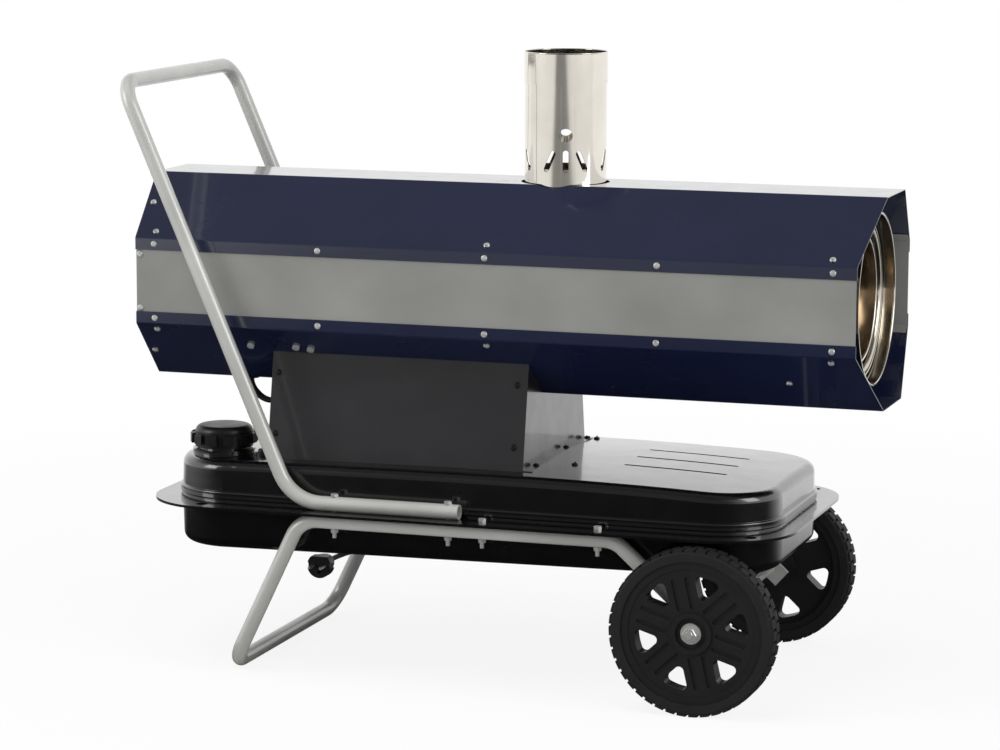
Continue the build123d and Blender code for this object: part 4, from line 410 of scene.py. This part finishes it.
# Dial ticks round the thermostat knob, longer at both ends and at the middle
tick_count = 11
first_tick, tick_step = -135, 27
short_tick, long_tick = 0.0035, 0.0055
tick_width, tick_thickness = 0.0008, 0.0003
tick_lift = 0.00005
knob_clearance = 0.003
knob_low, knob_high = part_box("thermostat_knob")
knob_foot = on_panel(-0.125, 0.400)
tick_start = (knob_high[0] - knob_low[0]) / 2 + knob_clearance
ticks = bmesh.new()
for k in range(tick_count):
    a = math.radians(first_tick + tick_step * k)
    way = panel_across * math.sin(a) + panel_up * math.cos(a)
    length = short_tick if k % 5 else long_tick
    tilt = Matrix((way, panel_out.cross(way), panel_out)).transposed().to_4x4()
    middle = knob_foot + way * (tick_start + length / 2) + panel_out * tick_lift
    size = Matrix.Diagonal((length, tick_width, tick_thickness, 1))
    bmesh.ops.create_cube(ticks, size=1.0, matrix=Matrix.Translation(middle) @ tilt @ size)
piece("dial_ticks", ticks, white_mark, smooth=False)


def islands(mesh):
    """Vertex positions of each loose part of a mesh."""
    bm = bmesh.new()
    bm.from_mesh(mesh)
    seen = set()
    groups = []
    for start in bm.verts:
        if start.index in seen:
            continue
        seen.add(start.index)
        stack = [start]
        group = []
        while stack:
            vert = stack.pop()
            group.append(tuple(vert.co))
            for edge in vert.link_edges:
                other = edge.other_vert(vert)
                if other.index not in seen:
                    seen.add(other.index)
                    stack.append(other)
        groups.append(np.array(group))
    bm.free()
    return groups


def head_frame(points):
    """Middle of a screw head's outer face, and its outward direction.

    The screw's axis is the main axis whose two halves differ most in width. Its wide half is the head.
    """
    middle = points.mean(axis=0)
    offsets = points - middle
    most = -1.0
    for axis in np.linalg.svd(offsets)[2]:
        along = offsets @ axis
        width = np.linalg.norm(offsets - np.outer(along, axis), axis=1)
        ahead = width[along > 0].max(initial=0.0)
        behind = width[along < 0].max(initial=0.0)
        if abs(ahead - behind) > most:
            most = abs(ahead - behind)
            outward = axis if ahead > behind else -axis
    height = offsets @ outward
    sideways = offsets - np.outer(height, outward)
    centre = middle + (sideways.max(axis=0) + sideways.min(axis=0)) / 2
    return Vector(centre + outward * height.max()), Vector(outward)


# Cross recesses of the pan heads, drawn as thin dark slabs on the heads; their dark colour is painted
# shade in the recesses
recess_size = Matrix.Diagonal((0.0042, 0.0009, 0.00016, 1))
recess_lean = 0.4
cross = bmesh.new()
for points in islands(nodes["pan_screws"].data):
    top, outward = head_frame(points)
    tilt = outward.to_track_quat("Z", "Y").to_matrix().to_4x4()
    for lean in (recess_lean, recess_lean + math.pi / 2):
        turned = Matrix.Translation(top) @ tilt @ Matrix.Rotation(lean, 4, "Z")
        bmesh.ops.create_cube(cross, size=1.0, matrix=turned @ recess_size)
piece("screw_recess_shade", cross, recess_shade_metal, smooth=False)

# Mains lead, from the gland down the far side of the tank and in under it to the plug
gland_foot = on_panel(-0.25, 0.350)
gland_length = 0.032
straight_run = 0.046
lead_points = [
    tuple(gland_foot + panel_out * gland_length),
    tuple(gland_foot + panel_out * (gland_length + straight_run)),
    (-0.254, 0.260, 0.329),
    (-0.262, 0.262, 0.262),
    (-0.270, 0.261, 0.190),
    (-0.282, 0.232, 0.132),
    (-0.314, 0.181, 0.115),
    (-0.348, 0.141, 0.106),
    (-0.348, 0.105, 0.106),
]
lead = nurbs("mains_lead", lead_points, radius=0.004, material=rubber)
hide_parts("mains_cord")

# Stage and light


def node_maths(tree):
    """Two builders of number nodes in a tree, whose values are sockets.

    ranged moves a value smoothly from one range to another, and op does one sum.
    """
    def ranged(value, source, target):
        m = tree.nodes.new("ShaderNodeMapRange")
        m.interpolation_type = "SMOOTHSTEP"
        m.inputs["From Min"].default_value, m.inputs["From Max"].default_value = source
        m.inputs["To Min"].default_value, m.inputs["To Max"].default_value = target
        tree.links.new(value, m.inputs["Value"])
        return m.outputs["Result"]

    def op(kind, *values):
        m = tree.nodes.new("ShaderNodeMath")
        m.operation = kind
        for socket, value in zip(m.inputs, values):
            if isinstance(value, (int, float)):
                socket.default_value = value
            else:
                tree.links.new(value, socket)
        return m.outputs[0]

    return ranged, op


def make_world():
    """World that is white to the camera.

    In reflections it is white behind and beside the object, and dark in front of it and overhead.
    """
    diffuse_strength = 0.42
    front_gloss, overhead_gloss = 0.16, 0.13
    world = bpy.data.worlds.new("studio")
    world.use_nodes = True
    tree = world.node_tree
    ranged, op = node_maths(tree)
    rays = tree.nodes.new("ShaderNodeLightPath").outputs
    coord = tree.nodes.new("ShaderNodeTexCoord")
    direction = tree.nodes.new("ShaderNodeSeparateXYZ")
    tree.links.new(coord.outputs["Generated"], direction.inputs["Vector"])
    around = ranged(direction.outputs["Y"], (-0.88, -0.40), (front_gloss, 1.0))
    overhead = ranged(direction.outputs["Z"], (0.40, 0.78), (1.0, overhead_gloss))
    gloss = op("MULTIPLY", rays["Is Glossy Ray"], op("MULTIPLY", around, overhead))
    clear = op("MAXIMUM", rays["Is Camera Ray"], rays["Is Transmission Ray"])
    diffuse = op("MULTIPLY", rays["Is Diffuse Ray"], diffuse_strength)
    background = tree.nodes["Background"]
    background.inputs["Color"].default_value = (1, 1, 1, 1)
    total = op("MAXIMUM", op("MAXIMUM", clear, gloss), diffuse)
    tree.links.new(total, background.inputs["Strength"])
    return world


def floor_material():
    """Pale matt surface for light and shadow, mixed with a white glow.

    The camera sees mostly the glow. In reflections the glow is dark near the object, and bright
    behind it and beside it, with a fainter band far in front of it.
    """
    near_glow_share = 0.88
    dark_glow, side_glow, ahead_glow = 0.015, 0.9, 0.26
    middle_x = 0.9
    material = bpy.data.materials.new("pale_floor")
    material.use_nodes = True
    tree = material.node_tree
    ranged, op = node_maths(tree)
    matt = tree.nodes["Principled BSDF"]
    matt.inputs["Base Color"].default_value = (0.94, 0.94, 0.94, 1)
    matt.inputs["Roughness"].default_value = 0.9
    matt.inputs["Specular IOR Level"].default_value = 0.1
    rays = tree.nodes.new("ShaderNodeLightPath").outputs
    where = tree.nodes.new("ShaderNodeNewGeometry")
    place = tree.nodes.new("ShaderNodeSeparateXYZ")
    tree.links.new(where.outputs["Position"], place.inputs["Vector"])
    x, y = place.outputs["X"], place.outputs["Y"]
    behind = ranged(y, (0.3, 1.6), (dark_glow, 1.0))
    beside = ranged(op("ABSOLUTE", op("SUBTRACT", x, middle_x)), (2.3, 4.3), (dark_glow, side_glow))
    ahead = ranged(y, (-4.8, -3.7), (ahead_glow, dark_glow))
    mirrored = op("MAXIMUM", op("MAXIMUM", behind, beside), ahead)
    distance = op("SQRT", op("ADD", op("POWER", x, 2.0), op("POWER", y, 2.0)))
    seen_share = ranged(distance, (0.9, 2.6), (near_glow_share, 1.0))
    glow_share = op("MAXIMUM", op("MULTIPLY", rays["Is Camera Ray"], seen_share),
                    op("MAXIMUM", rays["Is Glossy Ray"], rays["Is Transmission Ray"]))
    glow_strength = op("MAXIMUM", op("MULTIPLY", rays["Is Glossy Ray"], mirrored),
                       op("SUBTRACT", 1.0, rays["Is Glossy Ray"]))
    glow = tree.nodes.new("ShaderNodeEmission")
    tree.links.new(glow_strength, glow.inputs["Strength"])
    blend = tree.nodes.new("ShaderNodeMixShader")
    tree.links.new(glow_share, blend.inputs["Fac"])
    tree.links.new(matt.outputs["BSDF"], blend.inputs[1])
    tree.links.new(glow.outputs["Emission"], blend.inputs[2])
    tree.links.new(blend.outputs["Shader"], tree.nodes["Material Output"].inputs["Surface"])
    return material


def softbox(name, place, aim, size, watts):
    """A soft rectangular lamp at a place, turned to the point it lights."""
    light = bpy.data.lights.new(name, "AREA")
    light.shape = "RECTANGLE"
    light.size, light.size_y = size
    light.energy = watts
    obj = add(name, light)
    obj.location = place
    obj.rotation_euler = (Vector(aim) - Vector(place)).to_track_quat("-Z", "Y").to_euler()
    return obj


bpy.context.scene.world = make_world()

# Floor, a hair below the wheels and the stand
half_floor = 30.0
floor_drop = 0.0005
floor_mesh = bpy.data.meshes.new("floor")
floor_corners = [(-half_floor, -half_floor, 0), (half_floor, -half_floor, 0),
                 (half_floor, half_floor, 0), (-half_floor, half_floor, 0)]
floor_mesh.from_pydata(floor_corners, [], [(0, 1, 2, 3)])
floor_mesh.materials.append(floor_material())
floor = add("floor", floor_mesh)
floor.location.z = -floor_drop

# Lamps
key = softbox("key_above", place=(-0.6, -1.2, 3.6), aim=(0, 0, 0.4), size=(3.4, 2.2), watts=60)
key.visible_glossy = False
softbox("fill_left", place=(-3.2, -2.6, 1.9), aim=(0, 0, 0.5), size=(1.6, 2.2), watts=42)
softbox("rim_right", place=(3.4, -0.8, 2.0), aim=(0.3, 0, 0.5), size=(1.6, 2.4), watts=40)

# Camera, fitted to the photograph
camera_place = (1.5978, -4.9620, 1.2469)
yaw, pitch, roll = math.radians(18.208), math.radians(-8.889), math.radians(0.174)
focal_pixels, photo_pixels = 3549.4, 1000.0
sensor_mm = 36.0
look = Vector((-math.sin(yaw) * math.cos(pitch), math.cos(yaw) * math.cos(pitch), math.sin(pitch)))
right = Vector((math.cos(yaw), math.sin(yaw), 0.0))
up = right.cross(look)
right_rolled = right * math.cos(roll) + up * math.sin(roll)
up_rolled = up * math.cos(roll) - right * math.sin(roll)
camera_data = bpy.data.cameras.new("camera")
camera_data.sensor_width = sensor_mm
camera_data.lens = focal_pixels * sensor_mm / photo_pixels
camera_data.clip_end = 100.0
camera = add("camera", camera_data)
camera_turn = Matrix((right_rolled, up_rolled, -look)).transposed().to_4x4()
camera.matrix_world = Matrix.Translation(camera_place) @ camera_turn
bpy.context.scene.camera = camera
bpy.context.scene.view_settings.view_transform = "Standard"
